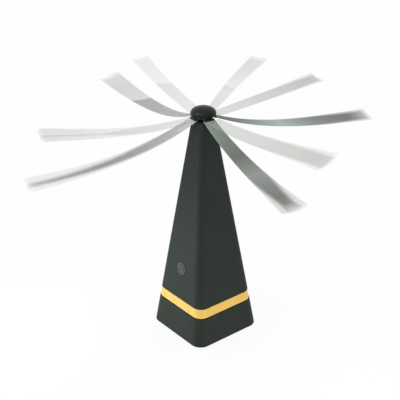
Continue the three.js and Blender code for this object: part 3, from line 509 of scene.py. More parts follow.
def turned(profile, steps=ROUND_STEPS):
    """A turned piece about the Z axis. The profile is a list of (radius, height)."""
    turns = [2 * math.pi * step / steps for step in range(steps)]
    rings = []
    for radius, height in profile:
        rings.append([Vector((radius * math.cos(turn), radius * math.sin(turn), height)) for turn in turns])
    return swept(rings, closed=profile[0][0] > 0 or profile[-1][0] > 0)


def cylinder(radius, bottom, top, steps=ROUND_STEPS):
    ring = [(radius, bottom), (radius, top)]
    return turned([(0, bottom), *ring, (0, top)], steps)


def placed(mesh, matrix):
    mesh.transform(matrix)
    return mesh


def moved(mesh, x, y, z=0.0):
    """The mesh itself, moved."""
    return placed(mesh, Matrix.Translation((x, y, z)))


def joined(meshes):
    """Several separate solids as one mesh."""
    work = bmesh.new()
    for mesh in meshes:
        work.from_mesh(mesh)
    result = bpy.data.meshes.new("piece")
    work.to_mesh(result)
    work.free()
    return tidied(result)


def block(low, high):
    """A box between two corners, as a tool to cut with."""
    corners = [[low.x, low.y], [high.x, low.y], [high.x, high.y], [low.x, high.y]]
    rings = [[Vector((x, y, z)) for x, y in corners] for z in (low.z, high.z)]
    return swept(rings, closed=False, caps=True)


def middle_of(node):
    low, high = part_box(node)
    return (low + high) / 2


def evaluated(holder):
    """The plain mesh that an object's modifiers make. The object is removed."""
    graph = bpy.context.evaluated_depsgraph_get()
    source = holder.evaluated_get(graph)
    mesh = bpy.data.meshes.new_from_object(source, preserve_all_data_layers=True, depsgraph=graph)
    bpy.data.objects.remove(holder)
    return mesh


def linked(name, mesh):
    made = bpy.data.objects.new(name, mesh)
    bpy.context.scene.collection.objects.link(made)
    return made


def combined(mesh, other, operation):
    """One mesh joined with, cut by, or kept inside another."""
    holder = linked("work", mesh)
    tool = linked("tool", other)
    modifier = holder.modifiers.new("cut", "BOOLEAN")
    modifier.operation = operation
    modifier.solver = "EXACT"
    modifier.object = tool
    result = evaluated(holder)
    bpy.data.objects.remove(tool)
    return tidied(result)


def piece(name, mesh, body, material, nodes=()):
    """A finished piece that rides on a body and stands for the CAD nodes that it names."""
    mesh.name = name
    made = linked(name, mesh)
    mesh.materials.clear()
    mesh.materials.append(material)
    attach(made, body)
    if nodes:
        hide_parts(*nodes)
    return made


def even_shading(made):
    """Keeps the flats flat beside rounded corners."""
    modifier = made.modifiers.new("flats", "WEIGHTED_NORMAL")
    modifier.keep_sharp = True
    modifier.weight = 100


# ---- Housing ----


def rounded_foot(z, radius, inset=0.0):
    """Rings that round a wall's lower outside edge, going up."""
    turn = arc((radius, radius), radius, 270, 180)
    return [tapered_ring(inset + across, z + rise) for across, rise in turn]


def rounded_brim(z, radius, inset=0.0):
    """Rings that round a wall's upper outside edge, going up."""
    turn = arc((radius, -radius), radius, 180, 90)
    return [tapered_ring(inset + across, z + rise) for across, rise in turn]


def button_frame():
    """The button's own frame: x across, y up the leaning face, z straight out of it. The origin is
    the middle of the button on the face."""
    inwards = Vector(joints["button_press"]["axis"]).normalized()
    outwards = -inwards
    across = Vector((1, 0, 0))
    upwards = outwards.cross(across)
    points = [vertex.co for vertex in frame["nodes"]["power_button"].data.vertices]
    heights = [point.dot(upwards) for point in points]
    depths = [point.dot(outwards) for point in points]
    origin = upwards * ((min(heights) + max(heights)) / 2) + outwards * (max(depths) - BUTTON_PROUD)
    matrix = Matrix((across, upwards, outwards)).transposed().to_4x4()
    matrix.translation = origin
    return matrix


BUTTON = button_frame()


def leaning_box(node):
    """A solid's box in the button's own frame."""
    points = [BUTTON.inverted() @ vertex.co for vertex in frame["nodes"][node].data.vertices]
    low = Vector([min(point[axis] for point in points) for axis in range(3)])
    high = Vector([max(point[axis] for point in points) for axis in range(3)])
    return low, high


button_low, button_high = leaning_box("power_button")
BUTTON_RADIUS = button_high.x - BUTTON_FLANGE
BUTTON_BACK = button_low.z


def tower():
    hole = BUSH_RADIUS + GAP
    rings = [tapered_ring(WALL, TOWER_BOTTOM)]
    rings += rounded_foot(TOWER_BOTTOM, FINE_EDGE)
    rings += rounded_brim(TOWER_TOP, TOP_EDGE)
    rings.append(square_ring(hole + GAP, hole + GAP, TOWER_TOP))
    rings.append(square_ring(hole, hole, TOWER_TOP - GAP))
    rings.append(square_ring(hole, hole, TOWER_TOP - ROOF))
    rings.append(tapered_ring(WALL, TOWER_TOP - ROOF))
    posts, feet_of_posts, holes = tower_fittings()
    mesh = combined(swept(rings), posts, "UNION")
    mesh = combined(mesh, feet_of_posts, "UNION")
    mesh = combined(mesh, holes, "DIFFERENCE")
    even_shading(piece("tower", mesh, "housing", BLACK, ["tower_shell"]))


def tower_fittings():
    """The tower's posts for the base screws, its bosses for the motor mount, its posts for the control
    board, and every hole in them and for the button."""
    below = TOWER_BOTTOM - OVERCUT
    level = [tapered_ring(WALL / 2, below), tapered_ring(WALL / 2, TOWER_TOP - ROOF / 2)]
    boss_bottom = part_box("motor_mount")[1].z + GAP
    boss_top = boss_bottom + MOUNT_BOSS_LENGTH
    board_front = leaning_box("control_board")[1].z
    rods = []
    feet_of_posts = []
    holes = [placed(cylinder(BUTTON_RADIUS + GAP, -2 * WALL, 2 * WALL), BUTTON)]
    for number in (1, 2, 3, 4):
        x, y, _ = middle_of(f"base_screw_{number}")
        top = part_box(f"base_screw_{number}")[1].z + GAP
        rods.append(moved(cylinder(POST_RADIUS, below, POST_TOP, 40), x, y))
        feet_of_posts.append(moved(cylinder(POST_RADIUS, LEDGE_BOTTOM, TOWER_BOTTOM, 40), x, y))
        holes.append(moved(cylinder(BASE_SCREW_RADIUS + GAP, LEDGE_BOTTOM - OVERCUT, top, 24), x, y))
    for number in (1, 2):
        x, y, _ = middle_of(f"mount_screw_{number}")
        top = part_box(f"mount_screw_{number}")[1].z + GAP
        rods.append(moved(cylinder(MOUNT_BOSS_RADIUS, boss_bottom, boss_top, 32), x, y))
        holes.append(moved(cylinder(SMALL_SCREW_RADIUS + GAP, boss_bottom - OVERCUT, top, 24), x, y))
        low, high = leaning_box(f"board_screw_{number}")
        x = (low.x + high.x) / 2
        y = (low.y + high.y) / 2
        end = high.z + GAP
        post = moved(cylinder(BOARD_POST_RADIUS, board_front + GAP, -WALL / 2, 32), x, y)
        hole = moved(cylinder(SMALL_SCREW_RADIUS + GAP, board_front - OVERCUT, end, 24), x, y)
        feet_of_posts.append(placed(post, BUTTON))
        holes.append(placed(hole, BUTTON))
    posts = combined(joined(rods), swept(level, closed=False, caps=True), "INTERSECT")
    return posts, joined(feet_of_posts), joined(holes)


def band():
    rings = [tapered_ring(WALL, band_low.z)]
    rings += rounded_foot(band_low.z, FINE_EDGE, BAND_INSET)
    rings += rounded_brim(band_high.z, FINE_EDGE, BAND_INSET)
    rings.append(tapered_ring(WALL, band_high.z))
    even_shading(piece("band", swept(rings), "housing", YELLOW, ["trim_band"]))


def skirt():
    collar = WALL + GAP
    shelf = WALL + LEDGE_DEPTH
    shelf_top = LEDGE_BOTTOM + LEDGE_HEIGHT
    collar_bottom = SKIRT_TOP - COLLAR_BELOW
    rings = [tapered_ring(WALL, skirt_low.z)]
    rings += rounded_foot(skirt_low.z, SKIRT_EDGE)
    rings += rounded_brim(SKIRT_TOP, FINE_EDGE)
    inner = [(collar, SKIRT_TOP), (collar, skirt_high.z), (collar + COLLAR_WALL, skirt_high.z)]
    inner += [(collar + COLLAR_WALL, collar_bottom), (WALL, collar_bottom), (WALL, shelf_top)]
    inner += [(shelf, shelf_top), (shelf, LEDGE_BOTTOM), (WALL, LEDGE_BOTTOM)]
    rings += [tapered_ring(inset, z) for inset, z in inner]
    even_shading(piece("skirt", swept(rings), "housing", BLACK, ["base_skirt"]))


# ---- Power button ----


def button():
    flange_front = -WALL * math.cos(math.atan(LEAN_RATE)) - GAP
    flange_back = flange_front - BUTTON_FLANGE_HEIGHT
    flange = BUTTON_RADIUS + BUTTON_FLANGE
    dish = BUTTON_PROUD - BUTTON_DISH
    ring_inside = BUTTON_RADIUS - BUTTON_RING
    profile = [(0, BUTTON_BACK), (BUTTON_STEM, BUTTON_BACK), (BUTTON_STEM, flange_back)]
    profile += [(flange, flange_back), (flange, flange_front), (BUTTON_RADIUS, flange_front)]
    ridge = BUTTON_RING / 2
    for across, rise in arc((BUTTON_RADIUS - ridge, BUTTON_PROUD - ridge), ridge, 0, 180, 12):
        profile.append((across, rise))
    profile += [(ring_inside, dish), (0, dish)]
    piece("button", placed(turned(profile), BUTTON), "button", BUTTON_BLACK, ["power_button"])
    power_sign(dish)


def rounded_bar(path, width, bottom, top):
    """A flat stroke with round ends along a short list of points in the button's frame."""
    half = width / 2
    outline = []
    first, last = path[0], path[-1]
    lead_in = (first - path[1]).normalized()
    lead_out = (last - path[-2]).normalized()
    for centre, heading in ((first, lead_in), (last, lead_out)):
        base = math.atan2(heading.y, heading.x)
        cap = [base + math.radians(turn) for turn in range(-90, 91, 15)]
        outline.append([centre + Vector((half * math.cos(a), half * math.sin(a))) for a in cap])
    left, right = [], []
    for before, here, after in zip(path, path[1:], path[2:]):
        along = (after - before).normalized()
        side = Vector((-along.y, along.x)) * half
        left.append(here + side)
        right.append(here - side)
    around = outline[0] + right + outline[1] + list(reversed(left))
    rings = [[Vector((p.x, p.y, level)) for p in around] for level in (bottom, top)]
    return swept(rings, closed=False, caps=True)


def power_sign(face):
    """The everyday power sign: an open circle with a short bar through its gap."""
    top = face + SIGN_HEIGHT
    bottom = face - SIGN_HEIGHT
    around = arc((0, 0), SIGN_RADIUS, 90 + SIGN_OPENING, 450 - SIGN_OPENING, 40)
    circle = [Vector((x, y)) for x, y in around]
    bar = [Vector((0, SIGN_RADIUS * share)) for share in SIGN_BAR]
    for name, path in (("sign_circle", circle), ("sign_bar", bar)):
        stroke = rounded_bar(path, SIGN_STROKE, bottom, top)
        piece(name, placed(stroke, BUTTON), "button", SIGN_GREY)


# ---- Rotor cap ----


def dome(radius, bottom, rim, height, steps):
    """The profile of a dome above an upright rim, from the outside to the axis."""
    profile = []
    for step in range(steps + 1):
        angle = step / steps * math.pi / 2
        across = radius * math.cos(angle) if step < steps else 0
        profile.append((across, bottom + rim + (height - rim) * math.sin(angle)))
    return profile


def cap():
    radius = cap_high.x
    bottom, height = cap_low.z, cap_high.z - cap_low.z
    inside = radius - CAP_WALL
    boss_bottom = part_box("rotor_hub")[1].z + GAP
    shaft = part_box("rotor_shaft")[1]
    profile = list(reversed(dome(inside, bottom, CAP_RIM, height - CAP_WALL, DOME_INNER_STEPS)))
    boss_edge = next(i for i, (across, _) in enumerate(profile) if across > CAP_BOSS)
    socket = shaft.x + GAP
    roof = shaft.z + GAP
    start = [(0, roof), (socket, roof), (socket, boss_bottom), (CAP_BOSS, boss_bottom)]
    start.append((CAP_BOSS, profile[boss_edge][1]))
    profile = start + profile[boss_edge:]
    profile += arc((inside + CAP_EDGE, bottom + CAP_EDGE), CAP_EDGE, 180, 270)
    profile += arc((radius - CAP_EDGE, bottom + CAP_EDGE), CAP_EDGE, 270, 360)
    seam = bottom + CAP_RIM
    profile += [(radius, seam - CAP_SEAM), (radius - CAP_SEAM, seam)]
    profile += dome(radius, bottom, CAP_RIM + CAP_SEAM, height, DOME_STEPS)
    piece("cap", turned(profile), "rotor", CAP_BLACK, ["rotor_cap"])


# ---- Blade films ----

# The pale colour that paints light on the films' margins and edges.
FILM_PAINTED_LIGHT = colour(0.6, 0.62, 0.61)
FILM_SIZES = [
    ("Angle", 0.0), ("Reach", BLADE_REACH), ("Start", FILM_START), ("Root slope", ROOT_SLOPE),
    ("Rise", BLADE_RISE), ("Level", BLADE_LEVEL), ("Sweep", 0.0), ("Twist", 0.0),
    ("Root width", ROOT_WIDTH), ("Tip width", TIP_WIDTH), ("Trough", BLADE_TROUGH),
    ("Corner", TIP_CORNER), ("Thickness", FILM), ("Pivot out", STRIP_PIVOT_OUT),
    ("Pivot height", STRIP_PIVOT_HEIGHT),
]


def new_geometry_tree(name, sizes):
    """A geometry tree with named sizes, its net, and the values of its inputs."""
    tree = bpy.data.node_groups.new(name, "GeometryNodeTree")
    tree.interface.new_socket("Geometry", in_out="INPUT", socket_type="NodeSocketGeometry")
    tree.interface.new_socket("Piece", in_out="INPUT", socket_type="NodeSocketObject")
    for label, value in sizes:
        socket = tree.interface.new_socket(label, in_out="INPUT", socket_type="NodeSocketFloat")
        socket.default_value = value
    tree.interface.new_socket("Material", in_out="INPUT", socket_type="NodeSocketMaterial")
    tree.interface.new_socket("Geometry", in_out="OUTPUT", socket_type="NodeSocketGeometry")
    net = Net(tree)
    entry = tree.nodes.new("NodeGroupInput")
    return tree, net, {socket.name: Value(net, socket) for socket in entry.outputs if socket.name}


def end_geometry_tree(net, geometry, material):
    solid = net.node("GeometryNodeRealizeInstances", None, {"Geometry": geometry})
    painted = net.node("GeometryNodeSetMaterial", None, {"Geometry": solid, "Material": material})
    leave = net.tree.nodes.new("NodeGroupOutput")
    net.tree.links.new(painted.socket, leave.inputs[0])


def grown(tree, material, sizes, points=()):
    """The plain mesh that a geometry tree makes at those sizes, from those points where it uses any."""
    seed = bpy.data.meshes.new("seed")
    seed.from_pydata([tuple(point) for point in points], [], [])
    holder = linked("work", seed)
    modifier = holder.modifiers.new("shape", "NODES")
    modifier.node_group = tree
    for item in tree.interface.items_tree:
        if item.in_out == "INPUT" and item.name in sizes:
            modifier[item.identifier] = sizes[item.name]
        if item.in_out == "INPUT" and item.name == "Material":
            modifier[item.identifier] = material
    return tidied(evaluated(holder))


def film_tree():
    """A soft film. It leaves its clip sloping down, curves up towards its tip, and may be swept round
    and twisted. It sags a little across its width, and one corner of its tip is rounded."""
    tree, net, size = new_geometry_tree("blade film", FILM_SIZES)
    grid = net.node("GeometryNodeMeshGrid", None, {
        "Size X": 1.0, "Size Y": 2.0, "Vertices X": BLADE_STATIONS, "Vertices Y": BLADE_COLUMNS,
    })
    x, y, _ = net.split(net.node("GeometryNodeInputPosition"))
    length = size["Reach"] - size["Pivot out"]
    start = size["Start"] / length
    spaced = 1 - (1 - start) * (0.5 - x).call("MAXIMUM", 0.0) ** FILM_SPACING
    marked = grid
    for name, value in (("film_along", spaced), ("film_across", y)):
        marked = net.node("GeometryNodeStoreNamedAttribute", {"data_type": "FLOAT", "domain": "POINT"}, {
            "Geometry": marked, "Name": name, "Value": value,
        })
    share = net.node("GeometryNodeInputNamedAttribute", {"data_type": "FLOAT"}, {"Name": "film_along"})
    side = net.node("GeometryNodeInputNamedAttribute", {"data_type": "FLOAT"}, {"Name": "film_across"})

    half = (size["Root width"] + (size["Tip width"] - size["Root width"]) * share) / 2
    into = (size["Corner"] - length * (1 - share)).call("MAXIMUM", 0.0)
    cut = size["Corner"] - (size["Corner"] ** 2 - into ** 2).call("MAXIMUM", 0.0) ** 0.5
    offset = cut - half + (2 * half - cut) * (side + 1) / 2
    fall = -length * size["Root slope"].call("TANGENT")
    height = fall * share + size["Rise"] * share ** 2 + size["Level"] * share ** 3
    climb = (fall + 2 * size["Rise"] * share + 3 * size["Level"] * share ** 2) / length
    radius = size["Pivot out"] + length * share
    heading = size["Angle"] + size["Sweep"] * share ** SWEEP_GROWTH
    twist = size["Twist"] * share
    cosine = heading.call("COSINE")
    sine = heading.call("SINE")
    level = twist.call("COSINE")
    middle = net.combine(radius * cosine, radius * sine, size["Pivot height"] + height)
    across = net.combine(-sine * level, cosine * level, twist.call("SINE"))
    along = net.combine(cosine, sine, climb)
    upright = net.vector("NORMALIZE", net.vector("CROSS_PRODUCT", along, across))
    sag = -size["Trough"] * share * (1 - side ** 2) - size["Thickness"] / 2
    place = net.vector("ADD", middle, net.scaled(across, offset))
    place = net.vector("ADD", place, net.scaled(upright, sag))
    under = net.node("GeometryNodeSetPosition", None, {"Geometry": marked, "Position": place})
    thick = net.node("GeometryNodeExtrudeMesh", {"mode": "FACES"}, {
        "Mesh": under, "Offset": upright, "Offset Scale": size["Thickness"], "Individual": False,
    })
    turned_over = net.node("GeometryNodeFlipFaces", None, {"Mesh": under})
    both = net.node("GeometryNodeJoinGeometry", None, {"Geometry": [thick, turned_over]})
    closed = net.node("GeometryNodeMergeByDistance", None, {"Geometry": both, "Distance": MERGE})
    end_geometry_tree(net, closed, size["Material"])
    return tree


def smoky_film(name, tints, cover, stripe, margin, offset=0.0, soft=0.22, crease=(0.0, 0.6, 0.0),
               sheen=0.25, tip_fade=0.25):
    """Smoke-tinted film. Its tint, its cover (1 is solid) and the width of its darker middle stripe
    are each given as stops from root to tip. Beside the stripe it is as clear as margin says, and it is
    mixed towards a pale colour there: the stripe and the margins are partly real clearness and partly
    painted shade and painted light across the film's trough. Its edges and tip carry a painted light
    line. At the crease (how deep, how far along, how slanted) a drop in its cover paints a step between
    shade and light. The stripe fades out towards the tip by as much as tip_fade."""
    paint = Paint(name, Specular_IOR_Level=sheen)
    along = paint.attribute("film_along")
    across = paint.attribute("film_across")
    from_middle = across.call("ABSOLUTE")

    def ramp(stops):
        return paint.node("ShaderNodeValToRGB", {"stops": stops}, {"Fac": along})

    def share_ramp(stops):
        return ramp([(place, (share, share, share)) for place, share in stops])

    streaked = paint.node("ShaderNodeMapping", None, {"Vector": paint.coordinates, "Scale": (1, 1, 0.4)})
    ripple = paint.noise(160, 2, 0.5, streaked)
    cloud = paint.noise(30, 2)
    width = share_ramp([(place, share / 2) for place, share in stripe])
    beside = (across - offset * along).call("ABSOLUTE") - 2 * width + 0.1 * (cloud - 0.5)
    # Clear margins beside the stripe; below they are also mixed towards the pale colour, as painted light on
    # the trough's edges.
    clear = beside.rise(-soft, soft).call("MAXIMUM", tip_fade * along.rise(0.86, 1.0))
    # A painted light line along the edges and the tip, beyond the root, where the film is also made clearer.
    rim = from_middle.rise(0.9, 0.99).call("MAXIMUM", along.rise(0.965, 0.995)) * along.rise(0.15, 0.5)
    # A painted step between shade and light at the crease, made by a drop in cover.
    depth, place, slant = crease
    crease_shade_step = (along - slant * across).rise(place - CREASE_SOFTNESS, place + CREASE_SOFTNESS)
    opacity = share_ramp(cover) * (1 - (1 - margin) * clear) * (1 - depth * crease_shade_step)
    opacity = opacity * (1 - 0.5 * rim) + 0.04 * (ripple - 0.5)
    paint.feed("Base Color", paint.blend(0.5 * clear.call("MAXIMUM", rim), ramp(tints), FILM_PAINTED_LIGHT))
    paint.feed("Alpha", opacity.call("MAXIMUM", 0.02).call("MINIMUM", 1.0))
    paint.feed("Roughness", 0.34 + 0.12 * ripple)
    paint.bump(ripple, 0.12 * MM)
    return paint.material


# Each film flutters in its own way: its sweep and twist at the tip in degrees, and its lift there.
# Its tint runs from root to tip.
FLUTTER = [(-6.8, 11, 1.4 * MM), (-9, 10.5, -5.6 * MM), (5, -12.8, 13.5 * MM), (3, -10.6, -7.6 * MM)]
OLIVE = [
    (0.0, (0.23, 0.27, 0.23)), (0.12, (0.18, 0.225, 0.19)), (0.32, (0.132, 0.137, 0.11)),
    (0.52, (0.222, 0.252, 0.245)), (0.8, (0.125, 0.123, 0.105)), (1.0, (0.2, 0.2, 0.19)),
]
SLATE = [
    (0.0, (0.03, 0.04, 0.035)), (0.15, (0.085, 0.10, 0.095)), (0.45, (0.38, 0.48, 0.445)),
    (0.7, (0.19, 0.21, 0.205)), (0.92, (0.12, 0.125, 0.125)), (1.0, (0.2, 0.2, 0.2)),
]
ASH = [
    (0.0, (0.14, 0.145, 0.145)), (0.2, (0.31, 0.31, 0.32)), (0.6, (0.30, 0.30, 0.30)),
    (1.0, (0.36, 0.37, 0.37)),
]
MIST = [
    (0.0, (0.46, 0.46, 0.43)), (0.15, (0.34, 0.34, 0.33)), (0.4, (0.24, 0.25, 0.25)),
    (1.0, (0.17, 0.18, 0.18)),
]
WARM = [(0.0, (0.34, 0.34, 0.32)), (1.0, (0.28, 0.275, 0.255))]
FILM_FINISHES = [
    smoky_film("film_smoke_1", OLIVE, [(0, 1.0), (0.5, 0.9), (1, 0.68)],
               [(0, 1.6), (0.4, 1.3), (0.75, 0.62), (1, 0.4)], 0.38, 0.02, 0.3, tip_fade=0.8),
    smoky_film("film_smoke_2", SLATE, [(0, 1.0), (0.5, 0.85), (1, 0.75)],
               [(0, 1.6), (0.4, 1.5), (0.75, 0.9), (1, 0.5)], 0.38, 0.1, 0.3, tip_fade=0.6),
    smoky_film("film_smoke_3", ASH, [(0, 0.95), (0.25, 0.66), (0.6, 0.62), (1, 0.85)],
               [(0, 1.7), (1, 1.7)], 0.4, crease=(0.58, 0.655, 0.025)),
    smoky_film("film_smoke_4", MIST, [(0, 0.66), (0.3, 0.64), (0.6, 0.62), (1, 0.6)],
               [(0, 1.6), (0.25, 1.0), (0.5, 0.55), (0.75, 0.3), (1, 0.12)], 0.2, 0.0, 0.45, tip_fade=0.6),
]


def films(tree):
    for number, ((sweep, twist, lift), finish) in enumerate(zip(FLUTTER, FILM_FINISHES), 1):
        hinge = next(joint for joint in frame["joints"] if joint["child"] == f"blade_{number}")
        pin = Vector(hinge["axis"])
        pivot = Vector(hinge["pos_m"])
        mesh = grown(tree, finish, {
            "Angle": math.atan2(-pin.x, pin.y),
            "Sweep": math.radians(sweep),
            "Twist": math.radians(twist),
            "Rise": BLADE_RISE + lift,
            "Pivot out": math.hypot(pivot.x, pivot.y),
            "Pivot height": pivot.z,
        })
        piece(f"film_{number}", mesh, f"blade_{number}", finish, [f"blade_film_{number}"])


# Where the turning films were a moment before: five faint strips in the air. Angles are in degrees and
# lengths in millimetres. Each one trails a blade, and has a heading of its own, a sweep, twist and lift at
# its tip, a reach, a slope and width at its root, a width at its tip, and its finish.
PLAIN = {"stripe": [(0, 1.4), (0.5, 0.9), (1, 0.6)], "margin": 0.42}
FAINT_STRIPS = [
    {"blade": 1, "heading": 6, "sweep": -12, "twist": 27.5, "lift": -17.5, "reach": 202, "slope": 9,
     "root": 18, "tip": 26, "finish": {"cover": [(0, 0.25), (1, 0.40)], **PLAIN}},
    {"blade": 2, "heading": 83, "sweep": 15, "twist": 17, "lift": -93, "reach": 204, "slope": -6,
     "root": 15, "tip": 21.5, "finish": {"cover": [(0, 0.25), (0.5, 0.33), (1, 0.4)], **PLAIN}},
    {"blade": 3, "heading": 135.5, "sweep": -15, "twist": 5.5, "lift": 19.5, "reach": 204, "slope": 22,
     "root": 6, "tip": 22, "finish": {"cover": [(0, 0.26), (0.6, 0.18), (1, 0.42)],
     "stripe": [(0, 1.7), (1, 1.7)], "margin": 0.5, "crease": (0.45, 0.66, 0.02)}},
    {"blade": 3, "heading": 170, "sweep": -6, "twist": -2.5, "lift": -75, "reach": 203.5, "slope": -5,
     "root": 15, "tip": 22, "finish": {"cover": [(0, 0.16), (0.45, 0.22), (1, 0.28)],
     "stripe": [(0, 1.7), (1, 1.7)], "margin": 0.5, "crease": (0.5, 0.47, 0.02)}},
    {"blade": 4, "heading": 243, "sweep": 11, "twist": -11.5, "lift": -15.5, "reach": 175.5, "slope": 15,
     "root": 13.5, "tip": 26.5, "finish": {"cover": [(0, 0.22), (0.5, 0.28), (1, 0.36)],
     "stripe": [(0, 1.4), (0.4, 0.8), (0.6, 0.12), (1, 0.06)], "margin": 0.66}},
]


def moving_images(tree):
    """The faint strips ride on the blades that they trail, and cast no shadow. The
    faint strips belong to the stage and not to the object.
    """
    for number, look in enumerate(FAINT_STRIPS, 1):
        finish = smoky_film(f"faint_{number}", WARM, sheen=0.1, **look["finish"])
        mesh = grown(tree, finish, {
            "Angle": math.radians(look["heading"]),
            "Sweep": math.radians(look["sweep"]),
            "Twist": math.radians(look["twist"]),
            "Rise": BLADE_RISE + look["lift"] * MM,
            "Reach": look["reach"] * MM,
            "Root slope": math.radians(look["slope"]),
            "Root width": look["root"] * MM,
            "Tip width": look["tip"] * MM,
            "Start": STRIP_START,
        })
        strip = linked(f"moving_image_{number}", mesh)
        strip.visible_shadow = False
        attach(strip, f"blade_{look['blade']}")


# ---- Screws, feet, cells and motor ----


def repeat_tree():
    """Sets a copy of a piece on every point, each turned by its own amount about its own axis."""
    tree, net, size = new_geometry_tree("repeat", [("Most turn", math.pi), ("Seed", 7.0)])
    settings = {"transform_space": "ORIGINAL"}
    source = net.node("GeometryNodeObjectInfo", settings, {"Object": size["Piece"]}, 4)
    inputs = {2: 0.0, 3: size["Most turn"], "Seed": size["Seed"]}
    turn = net.node("FunctionNodeRandomValue", {"data_type": "FLOAT"}, inputs, 1)
    copies = net.node("GeometryNodeInstanceOnPoints", None, {
        "Points": size["Geometry"], "Instance": source, "Rotation": net.combine(0.0, 0.0, turn),
    })
    end_geometry_tree(net, copies, size["Material"])
    return tree


def repeated(tree, mesh, material, points, seed, most_turn=math.pi):
    pattern = linked("pattern", mesh)
    sizes = {"Piece": pattern, "Seed": float(seed), "Most turn": most_turn}
    result = grown(tree, material, sizes, points)
    bpy.data.objects.remove(pattern)
    return result


def screw_mesh(radius, length, head_radius, head_height):
    """A pan head screw with a cross recess. Its head is under z 0 and its thread goes up."""
    profile = [(0, -head_height)]
    edge = head_height / 2
    profile += arc((head_radius - edge, -head_height + edge), edge, 270, 360)
    profile += [(head_radius, 0), (radius, 0), (radius, THREAD_PITCH)]
    turns = int((length - radius - 2 * THREAD_PITCH) / THREAD_PITCH)
    root = radius - THREAD_DEPTH
    for turn in range(turns):
        height = THREAD_PITCH * (turn + 1)
        profile += [(root, height + THREAD_VALLEY_START * THREAD_PITCH)]
        profile += [(root, height + THREAD_VALLEY_END * THREAD_PITCH), (radius, height + THREAD_PITCH)]
    profile += [(0, length)]
    mesh = turned(profile, 28)
    reach = CROSS_REACH * head_radius
    slot = CROSS_WIDTH * head_radius
    recess = -head_height + CROSS_DEPTH * head_height
    for x, y in ((reach, slot), (slot, reach)):
        cutter = block(Vector((-x, -y, -2 * head_height)), Vector((x, y, recess)))
        mesh = combined(mesh, cutter, "DIFFERENCE")
    return mesh


def numbered(kind, count):
    return [f"{kind}_{number}" for number in range(1, count + 1)]


def screw_set(tree, nodes, box_of, radius, head_radius, head_height, seed):
    """A screw at the place of each of those nodes, as one mesh."""
    places = []
    for node in nodes:
        low, high = box_of(node)
        places.append(((low.x + high.x) / 2, (low.y + high.y) / 2, low.z + head_height))
    length = high.z - low.z - head_height
    return repeated(tree, screw_mesh(radius, length, head_radius, head_height), STEEL, places, seed)


def screws(tree):
    """Four base screws, two mount screws and two board screws."""
    base = (BASE_SCREW_RADIUS, BASE_SCREW_HEAD, BASE_SCREW_HEAD_HEIGHT)
    small = (SMALL_SCREW_RADIUS, SMALL_SCREW_HEAD, SMALL_SCREW_HEAD_HEIGHT)
    nodes = numbered("base_screw", 4)
    piece("base_screws", screw_set(tree, nodes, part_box, *base, 3), "housing", STEEL, nodes)
    nodes = numbered("mount_screw", 2)
    piece("mount_screws", screw_set(tree, nodes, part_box, *small, 5), "housing", STEEL, nodes)
    nodes = numbered("board_screw", 2)
    mesh = placed(screw_set(tree, nodes, leaning_box, *small, 11), BUTTON)
    piece("board_screws", mesh, "housing", STEEL, nodes)


def feet(tree):
    low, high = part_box("rubber_foot_1")
    radius = (high.x - low.x) / 2
    profile = [(0, FOOT_EDGE), (FOOT_DIMPLE * radius, FOOT_EDGE), (FOOT_TREAD * radius, 0)]
    profile += arc((radius - FOOT_EDGE, FOOT_EDGE), FOOT_EDGE, 270, 360)
    profile += [(radius, high.z), (0, high.z)]
    nodes = numbered("rubber_foot", 4)
    places = [(*middle_of(node).xy, 0) for node in nodes]
    mesh = repeated(tree, turned(profile, 64), RUBBER, places, 1, 0.0)
    piece("feet", mesh, "housing", RUBBER, nodes)


def lying(mesh, node, way):
    """Lays an upright turned piece along X at the middle of a solid, pointing one way or the other."""
    turn = Matrix.Rotation(math.radians(90 * way), 4, "Y")
    return placed(placed(mesh, turn), Matrix.Translation(middle_of(node)))


def cells():
    for number, way in ((1, 1), (2, -1)):
        node = f"battery_cell_{number}"
        low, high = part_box(node)
        radius = (high.z - low.z) / 2
        half = (high.x - low.x) / 2
        shoulder = half - CELL_NUB_HEIGHT
        lip = radius - CELL_BASE_LIP
        collar = CELL_COLLAR * radius
        base = CELL_BASE_RECESS - half
        jacket = [(0, base), (lip, base), (lip, -half)]
        jacket += arc((radius - CELL_RECESS, CELL_RECESS - half), CELL_RECESS, 270, 360)
        jacket += [(radius, shoulder - CELL_EDGE)]
        jacket += arc((radius - CELL_EDGE, shoulder - CELL_EDGE), CELL_EDGE, 10, 90)
        jacket += [(collar, shoulder), (collar, shoulder - CELL_RECESS), (0, shoulder - CELL_RECESS)]
        body = lying(turned(jacket, 64), node, way)
        piece(f"cell_{number}", body, "housing", JACKET, [node])
        nub_bottom = shoulder - CELL_NUB_EDGE
        nub = [(0, nub_bottom), (CELL_NUB, nub_bottom), (CELL_NUB, half - CELL_NUB_EDGE)]
        nub += arc((CELL_NUB - CELL_NUB_EDGE, half - CELL_NUB_EDGE), CELL_NUB_EDGE, 10, 90)
        nub += [(0, half)]
        tip = lying(turned(nub, 40), node, way)
        piece(f"cell_{number}_nub", tip, "housing", STEEL)


